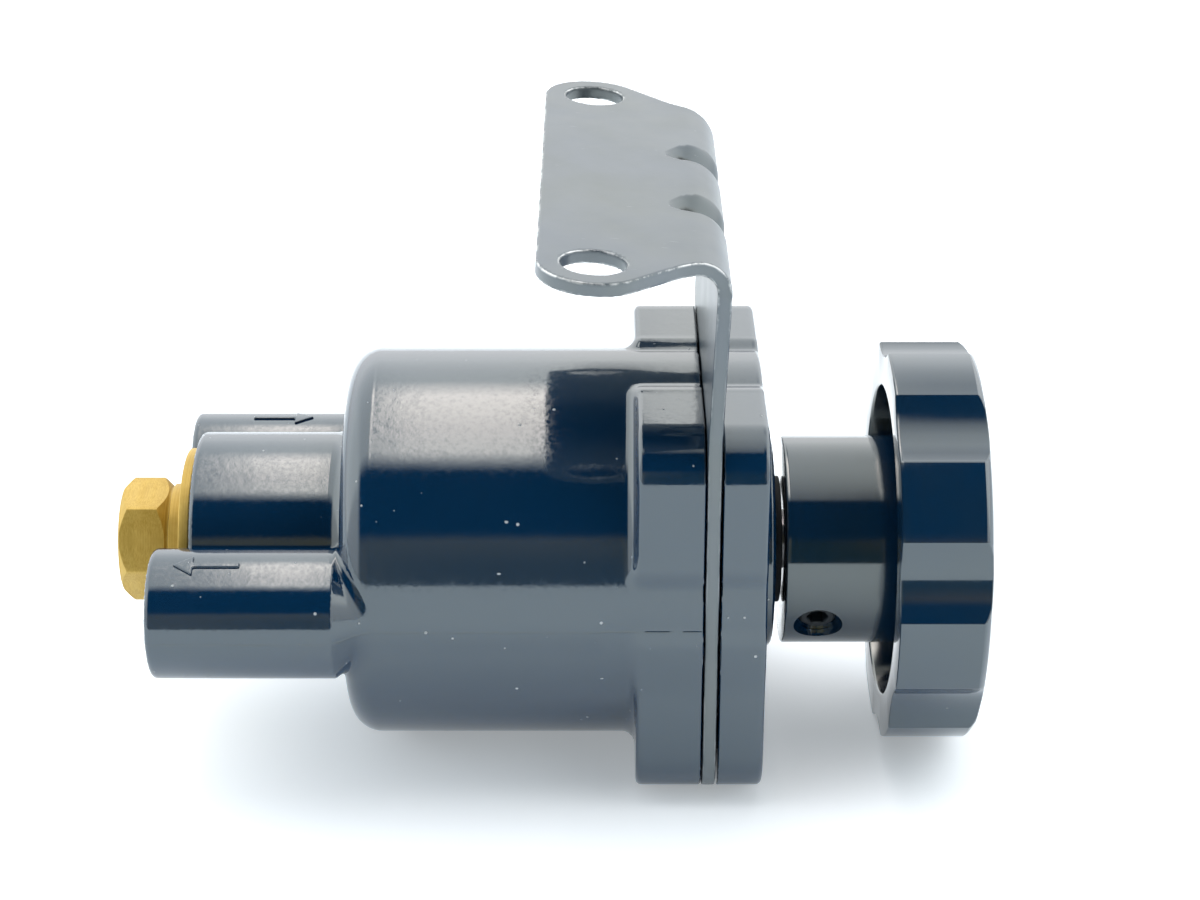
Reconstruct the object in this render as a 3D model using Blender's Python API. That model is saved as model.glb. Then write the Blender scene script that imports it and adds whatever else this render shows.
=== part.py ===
"""Hand-knob pressure regulating valve on a bent steel mounting bracket.

Frame: metres, +Z up. The origin is the middle of the bracket's top mounting face,
between its two bolt holes. +X runs along the valve axis towards the knob. The
valve axis is parallel to X and lies AXIS_Z below the origin. The two pipe ports
point to -X, the outlet on the -Y side and the inlet on the +Y side.

Lengths below are in millimetres and are turned into metres when a mesh is made.
"""
import math

import bmesh
import bpy
from mathutils import Matrix, Vector

MM = 0.001

# ------------------------------------------------------------ driving dimensions, mm
AXIS_Z = -62.3                  # valve axis below the bracket's mounting face
GAP = 0.3                       # between pieces that touch

BODY_R = 30.86                  # cylindrical body, 61.7 across
BODY_REAR_X = -38.6
BODY_FRONT_X = 16.4             # joint face under the bracket
SHOULDER_R = 4.8                # rounding between the body's side and its rear face
FLANGE_BACK_X = 6.4

FLANGE_HALF = 30.7              # half side of the square flange
FLANGE_CORNER_R = 8.0
PAD_START = 7.4                 # the corner pads start this far from the mid planes
PAD_STEP = 0.9                  # slope at each pad's end
PARTING_PAD_Z = 4.2             # the lower pads come up to here beside the parting line
SCREW_PITCH_HALF = 22.5         # cover screws at +-22.5, +-22.5
SCREW_HOLE_X = 7.4              # bottom of the blind screw holes in the pads
SCREW_TIP_X = 8.0

SHEET_T = 2.1                   # bracket sheet
LEG_X = BODY_FRONT_X + GAP + SHEET_T / 2
PLATE_TILT = math.radians(4.2)  # the plate rises slightly away from the knob
LEG_LEAN = math.radians(1.8)    # the leg leans slightly towards the knob
LEAN_Z = AXIS_Z + 31.0          # where the leg leaves the flange and starts to lean
BEND_R = 4.65                   # to the middle of the sheet
HOLE_HALF_SPACING = 37.9        # mounting holes at Y = +-37.9
HOLE_R = 4.7
EAR_R = 8.0
LEG_TOP_HALF = 33.6             # half width of the leg just under the bend

COVER_BACK_X = 19.2
COVER_FRONT_X = 26.1
COVER_BOSS_R = 17.2
COVER_BOSS_X = 28.2

BOSS_R = 17.2                   # rear centre boss around the bottom plug
BOSS_END_X = -63.0
PORT_R = 9.95
PORT_Y = 24.94
PORT_END_X = -67.2
PORT_BORE_R = 6.2               # mean of the 1/4 inch taper thread
PORT_BORE_DEPTH = 17.2
PASSAGE_R = 3.0

MAIN_BORE_R = 23.5
MAIN_BORE_FLOOR_X = -30.0
CHAMBER_R = 9.0                 # supply chamber around the poppet
CHAMBER_X = (-52.0, -45.0)
SEAT_BORE_R = 7.3
SEAT_X = (-45.0, -38.0)
PLUG_BORE_R = 12.3

HEX_AF = 17.3                   # 11/16 inch across flats
HEX_X = (-75.3, -67.8)
PLUG_NECK_R = 9.0
PLUG_DISC_R = 14.6
PLUG_DISC_X = (-64.9, -63.3)
PLUG_SHANK_END_X = -53.3

PIN_Y = 17.0                    # guide pins of the spring nut
KNOB_R = 31.75                  # 63.5 across, 2.5 inch
KNOB_BACK_X = 46.0
KNOB_RIM_X = 58.8
KNOB_CROWN_X = 62.0
HUB_R = 16.65
HUB_X = 29.9
RECESS_R = 24.8
RECESS_FLOOR_X = 54.0
SCALLOPS = 8
SCALLOP_FLOOR_R = 29.75         # middle of each scallop
SCALLOP_CUT_R = 14.5
FIRST_LAND_ANGLE = 37.15        # degrees up from -Y, middle of one land
SET_SCREW_ANGLE = -28.0
SET_SCREW_X = 35.2
SET_SCREW_HOLE_R = 3.2

STEM_R = 4.75
RUN_R = 5.05                    # bores that run on the stem
STEM_FLAT = 4.1

# colours: base colour, roughness, metallic
ENAMEL = ((0.012, 0.013, 0.015), 0.16, 0.0)
SHEET_BLACK = ((0.030, 0.032, 0.034), 0.42, 0.3)
ANODISED = ((0.014, 0.015, 0.017), 0.30, 0.6)
BRASS = ((0.72, 0.48, 0.14), 0.28, 1.0)
BRONZE = ((0.55, 0.36, 0.18), 0.35, 1.0)
STEEL = ((0.50, 0.50, 0.52), 0.32, 1.0)
BLACK_STEEL = ((0.05, 0.05, 0.055), 0.35, 0.9)
RUBBER = ((0.02, 0.02, 0.02), 0.65, 0.0)
FIBRE = ((0.06, 0.06, 0.065), 0.8, 0.0)


# ------------------------------------------------------------------------- helpers
def clear_scene():
    for old in list(bpy.data.objects):
        bpy.data.objects.remove(old, do_unlink=True)


def finish_mesh(name, bm, finish, origin=(0.0, 0.0, 0.0)):
    """Turn a bmesh in millimetres about `origin` into a named object."""
    bmesh.ops.recalc_face_normals(bm, faces=bm.faces[:])
    mesh = bpy.data.meshes.new(name)
    bm.to_mesh(mesh)
    bm.free()
    mesh.transform(Matrix.Scale(MM, 4))
    part = bpy.data.objects.new(name, mesh)
    part.location = Vector(origin) * MM
    bpy.context.scene.collection.objects.link(part)
    if finish is None:
        part.hide_render = True
        part.display_type = "WIRE"
        return part
    mesh.shade_smooth()
    mesh.set_sharp_from_angle(angle=math.radians(32))
    colour, roughness, metallic = finish
    material = bpy.data.materials.new(name)
    material.use_nodes = True
    shader = material.node_tree.nodes["Principled BSDF"]
    shader.inputs["Base Color"].default_value = (*colour, 1.0)
    shader.inputs["Roughness"].default_value = roughness
    shader.inputs["Metallic"].default_value = metallic
    mesh.materials.append(material)
    return part


def around(radius, degrees):
    """Point at a clock angle about the valve axis, from -Y up towards +Z."""
    angle = math.radians(degrees)
    return -radius * math.cos(angle), radius * math.sin(angle)


def add_turned(bm, profile, segments=48, y=0.0, z=0.0):
    """Turn a closed profile of (x, radius) points about a line parallel to X."""
    rings = []
    for x, radius in profile:
        if radius == 0.0:
            rings.append([bm.verts.new((x, y, z))])
            continue
        ring = []
        for step in range(segments):
            dy, dz = around(radius, 360.0 * step / segments)
            ring.append(bm.verts.new((x, y + dy, z + dz)))
        rings.append(ring)
    pairs = list(zip(rings, rings[1:]))
    if profile[0][1] > 0.0:
        pairs.append((rings[-1], rings[0]))
    for first, second in pairs:
        for step in range(segments):
            after = (step + 1) % segments
            corners = [first[step % len(first)], first[after % len(first)],
                       second[after % len(second)], second[step % len(second)]]
            bm.faces.new(list(dict.fromkeys(corners)))


def turned(name, profile, finish, segments=48):
    bm = bmesh.new()
    add_turned(bm, profile, segments)
    return finish_mesh(name, bm, finish, (0.0, 0.0, AXIS_Z))


def add_prism(bm, outline, x_start, x_end):
    """Extrude a closed outline of (y, z) points along X."""
    near = [bm.verts.new((x_start, y, z)) for y, z in outline]
    far = [bm.verts.new((x_end, y, z)) for y, z in outline]
    bm.faces.new(near)
    bm.faces.new(far[::-1])
    for index in range(len(outline)):
        after = (index + 1) % len(outline)
        bm.faces.new((near[index], near[after], far[after], far[index]))


def prism(name, outline, x_start, x_end, finish):
    bm = bmesh.new()
    add_prism(bm, outline, x_start, x_end)
    return finish_mesh(name, bm, finish, (0.0, 0.0, AXIS_Z))


def add_rod(bm, start, end, radius, segments=24):
    """Plain round rod between two points."""
    start, end = Vector(start), Vector(end)
    turn = (end - start).to_track_quat("Z", "Y").to_matrix().to_4x4()
    place = Matrix.Translation((start + end) / 2) @ turn
    bmesh.ops.create_cone(bm, cap_ends=True, segments=segments, radius1=radius,
                          radius2=radius, depth=(end - start).length, matrix=place)


def rods(name, pieces, segments=24):
    """Cutter made of separate rods, each (start, end, radius), about the valve axis."""
    bm = bmesh.new()
    for start, end, radius in pieces:
        add_rod(bm, start, end, radius, segments)
    return finish_mesh(name, bm, None, (0.0, 0.0, AXIS_Z))


def combine(part, tool, operation="DIFFERENCE"):
    modifier = part.modifiers.new(tool.name, "BOOLEAN")
    modifier.object = tool
    modifier.operation = operation
    modifier.solver = "EXACT"


def arc(centre, radius, start, end, steps):
    """Points on an arc in a plane, angles in degrees."""
    points = []
    for step in range(steps + 1):
        angle = math.radians(start + (end - start) * step / steps)
        points.append((centre[0] + radius * math.cos(angle),
                       centre[1] + radius * math.sin(angle)))
    return points


def lobed_outline(valley_r):
    """Square with rounded corner pads, cut back to a circle between the pads.

    On each side the lower pad runs up to the parting line, flush with the circle.
    """
    corner = FLANGE_HALF - FLANGE_CORNER_R
    valley_end = math.sqrt(valley_r ** 2 - PAD_START ** 2)
    stepped = [(valley_end, PAD_START), (FLANGE_HALF, PAD_START + PAD_STEP)]
    flush = [(FLANGE_HALF, PARTING_PAD_Z)]
    outline = []
    for quarter in range(4):
        points = list(flush if quarter == 2 else stepped)
        points += arc((corner, corner), FLANGE_CORNER_R, 0, 90, 4)
        points += [(z, y) for y, z in reversed(flush if quarter == 3 else stepped)]
        half = math.degrees(math.asin(PAD_START / valley_r))
        points += arc((0, 0), valley_r, 90 - half / 2, 90 + half / 2, 2)
        turn = math.radians(90 * quarter)
        outline += [(y * math.cos(turn) - z * math.sin(turn),
                     y * math.sin(turn) + z * math.cos(turn)) for y, z in points]
    return outline


def screw_places():
    side = SCREW_PITCH_HALF
    return [(y, z) for y in (-side, side) for z in (-side, side)]


# ---------------------------------------------------------------- fixed metal shells
def make_valve_body():
    """Die-cast body: cylinder, corner pads, centre boss and two pipe ports."""
    shoulder = arc((BODY_REAR_X + SHOULDER_R, BODY_R - SHOULDER_R), SHOULDER_R, 180, 90, 3)
    profile = [(BODY_REAR_X, 0.0)] + shoulder + [(BODY_FRONT_X, BODY_R), (BODY_FRONT_X, 0.0)]
    body = turned("valve_body", profile, ENAMEL, 40)

    flange = prism("flange_shape", lobed_outline(BODY_R - 0.3), FLANGE_BACK_X,
                   BODY_FRONT_X - 0.02, None)
    combine(body, flange, "UNION")

    bm = bmesh.new()
    inside_x = BODY_REAR_X + 2.0
    add_turned(bm, [(BOSS_END_X, 0.0), (BOSS_END_X, BOSS_R - 1.0), (BOSS_END_X + 1.0, BOSS_R),
                    (inside_x, BOSS_R), (inside_x, 0.0)], 28)
    combine(body, finish_mesh("boss_shape", bm, None, (0.0, 0.0, AXIS_Z)), "UNION")

    bm = bmesh.new()
    for y in (-PORT_Y, PORT_Y):
        add_turned(bm, [(PORT_END_X, 0.0), (PORT_END_X, PORT_R - 0.8), (PORT_END_X + 0.8, PORT_R),
                        (inside_x + 2.0, PORT_R), (inside_x + 2.0, 0.0)], 24, y)
    combine(body, finish_mesh("port_shape", bm, None, (0.0, 0.0, AXIS_Z)), "UNION")

    bm = bmesh.new()
    past = 2.0
    add_turned(bm, [(BOSS_END_X - past, 0.0), (BOSS_END_X - past, PLUG_BORE_R),
                    (CHAMBER_X[0], PLUG_BORE_R), (CHAMBER_X[0], CHAMBER_R),
                    (SEAT_X[0], CHAMBER_R), (SEAT_X[0], SEAT_BORE_R),
                    (SEAT_X[1], SEAT_BORE_R), (SEAT_X[1], SEAT_BORE_R - 1.3),
                    (MAIN_BORE_FLOOR_X, SEAT_BORE_R - 1.3), (MAIN_BORE_FLOOR_X, MAIN_BORE_R),
                    (BODY_FRONT_X + past, MAIN_BORE_R), (BODY_FRONT_X + past, 0.0)], 32)
    combine(body, finish_mesh("body_bore", bm, None, (0.0, 0.0, AXIS_Z)))

    bore_floor = PORT_END_X + PORT_BORE_DEPTH
    combine(body, rods("port_bores", [
        ((PORT_END_X - past, -PORT_Y, 0), (bore_floor, -PORT_Y, 0), PORT_BORE_R),
        ((PORT_END_X - past, PORT_Y, 0), (bore_floor + 4.0, PORT_Y, 0), PORT_BORE_R)], 20))
    combine(body, rods("outlet_passage", [
        ((bore_floor - 1.0, -PORT_Y, 0), (MAIN_BORE_FLOOR_X + 1.0, -PORT_Y, 0), PASSAGE_R)], 12))
    chamber_middle = sum(CHAMBER_X) / 2
    combine(body, rods("inlet_passage", [
        ((chamber_middle, PORT_Y, 0), (chamber_middle, 0, 0), PASSAGE_R)], 12))
    combine(body, rods("body_screw_holes", [
        ((SCREW_HOLE_X, y, z), (BODY_FRONT_X + past, y, z), 3.1) for y, z in screw_places()], 12))
    return body


def make_cover():
    """Front cover with a low round boss, a bushing bore and four countersinks."""
    cover = prism("cover", lobed_outline(BODY_R), COVER_BACK_X, COVER_FRONT_X, ENAMEL)
    bm = bmesh.new()
    inside_x = COVER_FRONT_X - 1.0
    add_turned(bm, [(inside_x, 0.0), (inside_x, COVER_BOSS_R), (COVER_BOSS_X - 0.5, COVER_BOSS_R),
                    (COVER_BOSS_X, COVER_BOSS_R - 0.5), (COVER_BOSS_X, 0.0)], 36)
    combine(cover, finish_mesh("cover_boss_shape", bm, None, (0.0, 0.0, AXIS_Z)), "UNION")

    bm = bmesh.new()
    add_turned(bm, [(COVER_BACK_X - 1.0, 0.0), (COVER_BACK_X - 1.0, 7.0), (26.2, 7.0),
                    (26.2, 8.5), (COVER_BOSS_X + 1.0, 8.5), (COVER_BOSS_X + 1.0, 0.0)], 24)
    combine(cover, finish_mesh("cover_bore", bm, None, (0.0, 0.0, AXIS_Z)))

    bm = bmesh.new()
    for y, z in screw_places():
        add_turned(bm, [(COVER_BACK_X - 1.0, 0.0), (COVER_BACK_X - 1.0, 3.3), (22.4, 3.3),
                        (25.8, 6.5), (COVER_FRONT_X + 1.0, 6.5), (COVER_FRONT_X + 1.0, 0.0)],
                   16, y, z)
    combine(cover, finish_mesh("cover_screw_holes", bm, None, (0.0, 0.0, AXIS_Z)))

    bm = bmesh.new()
    add_turned(bm, [(COVER_BACK_X - 1.0, 24.2), (COVER_BACK_X - 1.0, 28.1),
                    (19.9, 28.1), (19.9, 24.2)], 28)
    combine(cover, finish_mesh("gasket_groove", bm, None, (0.0, 0.0, AXIS_Z)))

    pin_holes = [((18.0, y, 0), (22.3, y, 0), 1.8) for y in (-PIN_Y, PIN_Y)]
    combine(cover, rods("pin_holes", pin_holes, 12))
    combine(cover, rods("vent_hole", [((18.0, 0, -20.0), (28.0, 0, -20.0), 1.6)], 10))
    return cover


def bracket_stations():
    """Stations along the bent sheet: (x, z, normal x, normal z, half width).

    They run from the plate's rear edge, round the bend and down the leg. Z is
    measured from the mounting face and the normal points up or to the knob.
    """
    plate_run = Vector((math.cos(PLATE_TILT), -math.sin(PLATE_TILT)))
    plate_up = Vector((math.sin(PLATE_TILT), math.cos(PLATE_TILT)))
    leg_run = Vector((-math.sin(LEG_LEAN), -math.cos(LEG_LEAN)))
    leg_out = Vector((math.cos(LEG_LEAN), -math.sin(LEG_LEAN)))
    plate_start = -plate_up * (SHEET_T / 2)
    kink = Vector((LEG_X, LEAN_Z))

    # the plate's and the leg's middle lines meet at `corner`
    offset = kink - plate_start
    along = (offset.x * leg_run.y - offset.y * leg_run.x) / (
        plate_run.x * leg_run.y - plate_run.y * leg_run.x)
    corner = plate_start + plate_run * along
    turn = math.acos(plate_run.dot(leg_run))
    setback = BEND_R * math.tan(turn / 2)
    bend_start = along - setback
    bend_centre = plate_start + plate_run * bend_start - plate_up * BEND_R

    stations = []
    slope_start = EAR_R * math.sin(math.radians(45))
    distances = [-EAR_R * math.cos(math.radians(a)) for a in (0, 15, 30, 50, 70, 90, 110, 135)]
    for distance in distances:
        width = HOLE_HALF_SPACING + math.sqrt(max(EAR_R ** 2 - distance ** 2, 0.0))
        stations.append((plate_start + plate_run * distance, plate_up, width))
    slope_width = HOLE_HALF_SPACING + slope_start
    slope_end = slope_start + slope_width - 35.2
    stations.append((plate_start + plate_run * slope_end, plate_up, 35.2))
    bend_steps = 6
    for step in range(bend_steps + 1):
        angle = turn * step / bend_steps
        normal = Vector((math.sin(angle + PLATE_TILT), math.cos(angle + PLATE_TILT)))
        stations.append((bend_centre + normal * BEND_R, normal, LEG_TOP_HALF))
    stations.append((kink, (leg_out + Vector((1.0, 0.0))).normalized(), FLANGE_HALF))
    for degrees in (0, 18, 36, 54, 72, 90):
        angle = math.radians(degrees)
        drop = FLANGE_HALF - FLANGE_CORNER_R * (1 - math.sin(angle))
        width = FLANGE_HALF - FLANGE_CORNER_R * (1 - math.cos(angle))
        stations.append((Vector((LEG_X, AXIS_Z - drop)), Vector((1.0, 0.0)), width))
    return stations


def make_bracket():
    """Bent steel sheet: a plate with two eared holes, a bend and a clamped leg."""
    bm = bmesh.new()
    rings = []
    for place, normal, width in bracket_stations():
        outer = place + normal * (SHEET_T / 2)
        inner = place - normal * (SHEET_T / 2)
        rings.append([bm.verts.new((outer.x, -width, outer.y)),
                      bm.verts.new((outer.x, width, outer.y)),
                      bm.verts.new((inner.x, width, inner.y)),
                      bm.verts.new((inner.x, -width, inner.y))])
    for first, second in zip(rings, rings[1:]):
        for corner in range(4):
            after = (corner + 1) % 4
            bm.faces.new((first[corner], first[after], second[after], second[corner]))
    bm.faces.new(rings[0])
    bm.faces.new(rings[-1][::-1])
    bracket = finish_mesh("mounting_bracket", bm, SHEET_BLACK)

    bm = bmesh.new()
    up = Vector((math.sin(PLATE_TILT), 0.0, math.cos(PLATE_TILT)))
    for y in (-HOLE_HALF_SPACING, HOLE_HALF_SPACING):
        middle = Vector((0.0, y, 0.0))
        add_rod(bm, middle - up * 4, middle + up * 2, HOLE_R, 24)
    combine(bracket, finish_mesh("mounting_holes", bm, None))
    leg = (LEG_X - 3.0, LEG_X + 3.0)
    combine(bracket, rods("leg_bore", [((leg[0], 0, 0), (leg[1], 0, 0), 24.0)], 32))
    combine(bracket, rods("leg_screw_holes", [
        ((leg[0], y, z), (leg[1], y, z), 3.4) for y, z in screw_places()], 12))
    return bracket


def make_cover_gasket():
    return turned("cover_gasket", [(19.1, 24.5), (19.6, 24.5), (19.6, 27.8), (19.1, 27.8)],
                  FIBRE, 28)


def make_cover_screws():
    """Four countersunk socket screws that clamp the cover and bracket to the body."""
    profile = [(SCREW_TIP_X, 0.0), (SCREW_TIP_X, 2.2), (SCREW_TIP_X + 0.5, 2.7), (22.3, 2.7),
               (25.4, 5.9), (25.8, 5.9), (25.8, 2.2), (23.3, 2.0), (23.3, 0.0)]
    for number, (y, z) in enumerate(screw_places(), 1):
        screw = turned(f"cover_screw_{number}", profile, BLACK_STEEL, 12)
        screw.location += Vector((0.0, y, z)) * MM


# ------------------------------------------------------- bottom plug and inlet valve
def make_bottom_plug():
    """Brass plug: hexagon, neck, flange disc and a hollow shank in the rear boss."""
    shank_r = PLUG_BORE_R - GAP
    groove = (-62.4, -60.6)
    profile = [(HEX_X[1] - 1.0, 0.0), (HEX_X[1] - 1.0, PLUG_NECK_R - 0.6),
               (HEX_X[1], PLUG_NECK_R - 0.6), (PLUG_DISC_X[0] - 0.5, PLUG_NECK_R - 0.4),
               (PLUG_DISC_X[0], PLUG_NECK_R), (PLUG_DISC_X[0], PLUG_DISC_R - 0.3),
               (PLUG_DISC_X[0] + 0.3, PLUG_DISC_R), (PLUG_DISC_X[1], PLUG_DISC_R),
               (PLUG_DISC_X[1], shank_r), (groove[0], shank_r), (groove[0], 10.4),
               (groove[1], 10.4), (groove[1], shank_r), (PLUG_SHANK_END_X - 0.6, shank_r),
               (PLUG_SHANK_END_X, shank_r - 0.6), (PLUG_SHANK_END_X, 6.2), (-60.5, 6.2),
               (-60.5, 2.95), (-63.5, 2.95), (-63.5, 0.0)]
    plug = turned("bottom_plug", profile, BRASS, 28)

    bm = bmesh.new()
    corner_r = HEX_AF / 2 / math.cos(math.radians(30))
    add_prism(bm, [around(corner_r, 60 * k - 5.0) for k in range(6)], HEX_X[0], HEX_X[1])
    hexagon = finish_mesh("hexagon_shape", bm, None, (0.0, 0.0, AXIS_Z))
    bm = bmesh.new()
    chamfer = 1.3
    add_turned(bm, [(HEX_X[0], 0.0), (HEX_X[0], corner_r - chamfer), (HEX_X[0] + 0.9, corner_r),
                    (HEX_X[1] - 0.9, corner_r), (HEX_X[1], corner_r - chamfer),
                    (HEX_X[1], 0.0)], 24)
    combine(hexagon, finish_mesh("hexagon_chamfer", bm, None, (0.0, 0.0, AXIS_Z)), "INTERSECT")
    combine(plug, hexagon, "UNION")
    return plug


def ring_profile(x, major, minor, steps=6):
    return [(x + minor * math.cos(2 * math.pi * k / steps),
             major + minor * math.sin(2 * math.pi * k / steps)) for k in range(steps)]


def make_plug_o_ring():
    return turned("plug_o_ring", ring_profile(-61.5, 11.3, 0.6), RUBBER, 24)


def make_poppet():
    """Inlet valve: a disc with a guide stem that slides in the bottom plug."""
    return turned("poppet", [(-60.9, 0.0), (-60.9, 2.3), (-60.6, 2.6), (-50.5, 2.6), (-50.5, 7.5),
                             (-46.6, 7.5), (-46.6, 6.9), (-48.5, 6.9), (-48.5, 0.0)], BRASS, 20)


def make_poppet_seal():
    return turned("poppet_seal", [(-48.2, 0.0), (-48.2, 6.5), (-46.3, 6.5), (-46.3, 0.0)],
                  RUBBER, 20)


def add_coil(bm, x_start, x_end, radius, wire_r, turns, per_turn, sides):
    """Compression spring about X whose end turns lie flat."""
    steps = int(turns * per_turn)
    closed = 0.85 * per_turn
    rise = [0.0]
    for step in range(steps):
        near_end = min(step, steps - 1 - step)
        rise.append(rise[-1] + (0.35 if near_end < closed else 1.0))
    span = x_end - x_start - 2 * wire_r
    rings = []
    for step, height in enumerate(rise):
        angle = 2 * math.pi * step / per_turn
        x = x_start + wire_r + span * height / rise[-1]
        ring = []
        for side in range(sides):
            turn = 2 * math.pi * side / sides
            reach = radius + wire_r * math.cos(turn)
            ring.append(bm.verts.new((x + wire_r * math.sin(turn), reach * math.cos(angle),
                                      reach * math.sin(angle))))
        rings.append(ring)
    for first, second in zip(rings, rings[1:]):
        for side in range(sides):
            after = (side + 1) % sides
            bm.faces.new((first[side], first[after], second[after], second[side]))
    bm.faces.new(rings[0][::-1])
    bm.faces.new(rings[-1])


def make_poppet_spring():
    bm = bmesh.new()
    add_coil(bm, -60.1, -50.9, 4.7, 0.45, 5.5, 9, 5)
    return finish_mesh("poppet_spring", bm, STEEL, (0.0, 0.0, AXIS_Z))


def make_valve_seat():
    """Brass seat with a raised lip, held in the wall between chamber and bore."""
    return turned("valve_seat", [(-46.0, 4.5), (-46.0, 5.2), (-44.7, 5.7), (-44.7, 7.0),
                                 (-42.5, 7.0), (-42.5, 5.9), (-40.7, 5.9), (-40.7, 7.0),
                                 (-38.3, 7.0), (-38.3, 4.5)], BRASS, 20)


def make_seat_o_ring():
    return turned("seat_o_ring", ring_profile(-41.6, 6.55, 0.4), RUBBER, 20)


# -------------------------------------------------------- piston, springs and stem
def make_piston():
    """Sensing piston with a seal groove, a spring pocket and a hollow tail."""
    outer = MAIN_BORE_R - GAP
    return turned("piston", [(-45.9, 1.6), (-45.9, 3.3), (-45.6, 3.6), (-22.0, 3.6),
                             (-22.0, outer - 0.6), (-21.4, outer), (-17.9, outer),
                             (-17.9, 20.7), (-14.1, 20.7), (-14.1, outer), (-8.0, outer),
                             (-8.0, 14.5), (-13.0, 14.5), (-13.0, 1.6)], BRONZE, 32)


def make_piston_seal():
    return turned("piston_seal", [(-17.6, 21.0), (-14.4, 21.0), (-14.4, 22.6), (-15.2, 23.2),
                                  (-16.8, 23.2), (-17.6, 22.6)], RUBBER, 32)


def make_range_spring():
    bm = bmesh.new()
    add_coil(bm, -12.7, 5.2, 11.9, 1.6, 4.0, 14, 6)
    return finish_mesh("range_spring", bm, STEEL, (0.0, 0.0, AXIS_Z))


def make_spring_nut():
    """Nut that climbs the stem's thread and presses the range spring."""
    nut = turned("spring_nut", [(3.2, RUN_R), (3.2, 9.5), (5.5, 9.5), (5.5, 20.0), (8.3, 20.0),
                                (8.3, 9.0), (11.0, 9.0), (11.0, RUN_R)], BRASS, 28)
    guides = [((2.0, y, 0), (12.0, y, 0), 1.85) for y in (-PIN_Y, PIN_Y)]
    combine(nut, rods("nut_guide_holes", guides, 10))
    return nut


def make_guide_pins():
    """Two pins in the cover that stop the spring nut from turning."""
    profile = [(-1.0, 0.0), (-1.0, 1.1), (-0.6, 1.5), (22.0, 1.5), (22.0, 0.0)]
    for name, y in (("guide_pin_near", -PIN_Y), ("guide_pin_far", PIN_Y)):
        pin = turned(name, profile, STEEL, 10)
        pin.location.y = y * MM


def make_stem():
    """Adjusting screw: thread, thrust collar, journal and a flatted knob end."""
    thread_r = STEM_R - 0.05
    ring_groove_r = 4.0
    stem = turned("stem", [(-4.0, 0.0), (-4.0, thread_r - 0.7), (-3.3, thread_r), (13.0, thread_r),
                           (13.0, 8.0), (15.8, 8.0), (15.8, STEM_R), (26.3, STEM_R),
                           (26.3, ring_groove_r), (27.9, ring_groove_r), (27.9, STEM_R),
                           (55.6, STEM_R), (56.2, STEM_R - 0.6), (56.2, 0.0)], STEEL, 20)
    bm = bmesh.new()
    bmesh.ops.create_cube(bm, size=1.0)
    bmesh.ops.scale(bm, vec=(27.0, 4.0, 14.0), verts=bm.verts[:])
    bmesh.ops.translate(bm, vec=(31.0 + 13.5, -STEM_FLAT - 2.0, 0.0), verts=bm.verts[:])
    turn = Matrix.Rotation(math.radians(-SET_SCREW_ANGLE), 3, "X")
    bmesh.ops.rotate(bm, cent=(0, 0, 0), matrix=turn, verts=bm.verts[:])
    combine(stem, finish_mesh("stem_flat", bm, None, (0.0, 0.0, AXIS_Z)))
    return stem


def make_stem_bushing():
    return turned("stem_bushing", [(17.4, RUN_R), (17.4, 9.5), (18.9, 9.5), (18.9, 6.7),
                                   (25.9, 6.7), (25.9, RUN_R), (24.5, RUN_R), (24.5, 6.2),
                                   (22.7, 6.2), (22.7, RUN_R)], BRONZE, 24)


def make_stem_o_ring():
    return turned("stem_o_ring", ring_profile(23.6, 5.5, 0.42), RUBBER, 20)


def make_thrust_washer():
    return turned("thrust_washer", [(16.1, RUN_R), (16.1, 9.0), (17.1, 9.0), (17.1, RUN_R)],
                  BRONZE, 24)


def make_retaining_ring():
    """Open spring clip in the stem's groove, inside the cover boss."""
    outline = arc((0, 0), 7.6, 20, 340, 14) + arc((0, 0), 4.4, 340, 20, 14)
    return prism("retaining_ring", outline, 26.6, 27.6, BLACK_STEEL)


def make_neck_washer():
    return turned("neck_washer", [(28.5, RUN_R), (28.5, 10.15), (29.6, 10.15), (29.6, RUN_R)],
                  FIBRE, 28)


# -------------------------------------------------------------------------- knob
def make_knob():
    """Turned knob: hub, hollow-backed rim with scallops and a crowned front."""
    edge = 0.5
    crown = [(KNOB_RIM_X, KNOB_R), (KNOB_RIM_X + 0.9, KNOB_R - 0.9), (60.6, 27.0),
             (61.4, 23.5), (KNOB_CROWN_X, 18.8), (KNOB_CROWN_X + 0.2, 0.0)]
    profile = [(HUB_X, RUN_R), (HUB_X, HUB_R - edge), (HUB_X + edge, HUB_R),
               (RECESS_FLOOR_X, HUB_R), (RECESS_FLOOR_X, RECESS_R),
               (KNOB_BACK_X + edge, RECESS_R), (KNOB_BACK_X, RECESS_R + edge),
               (KNOB_BACK_X, KNOB_R - edge), (KNOB_BACK_X + edge, KNOB_R)] + crown
    bore_end = 56.5
    profile = [(bore_end, 0.0), (bore_end, RUN_R)] + profile
    knob = turned("knob", profile, ANODISED, 48)

    period = 360 / SCALLOPS
    cuts = []
    for index in range(SCALLOPS):
        angle = FIRST_LAND_ANGLE + period * (index + 0.5)
        y, z = around(SCALLOP_FLOOR_R + SCALLOP_CUT_R, angle)
        cuts.append(((KNOB_BACK_X - 2, y, z), (KNOB_CROWN_X + 2, y, z), SCALLOP_CUT_R))
    combine(knob, rods("scallop_cuts", cuts, 36))

    inner = around(STEM_R - 1.0, SET_SCREW_ANGLE)
    outer = around(HUB_R + 2.0, SET_SCREW_ANGLE)
    combine(knob, rods("set_screw_hole", [((SET_SCREW_X, *inner), (SET_SCREW_X, *outer),
                                           SET_SCREW_HOLE_R)], 14))
    return knob


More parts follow.
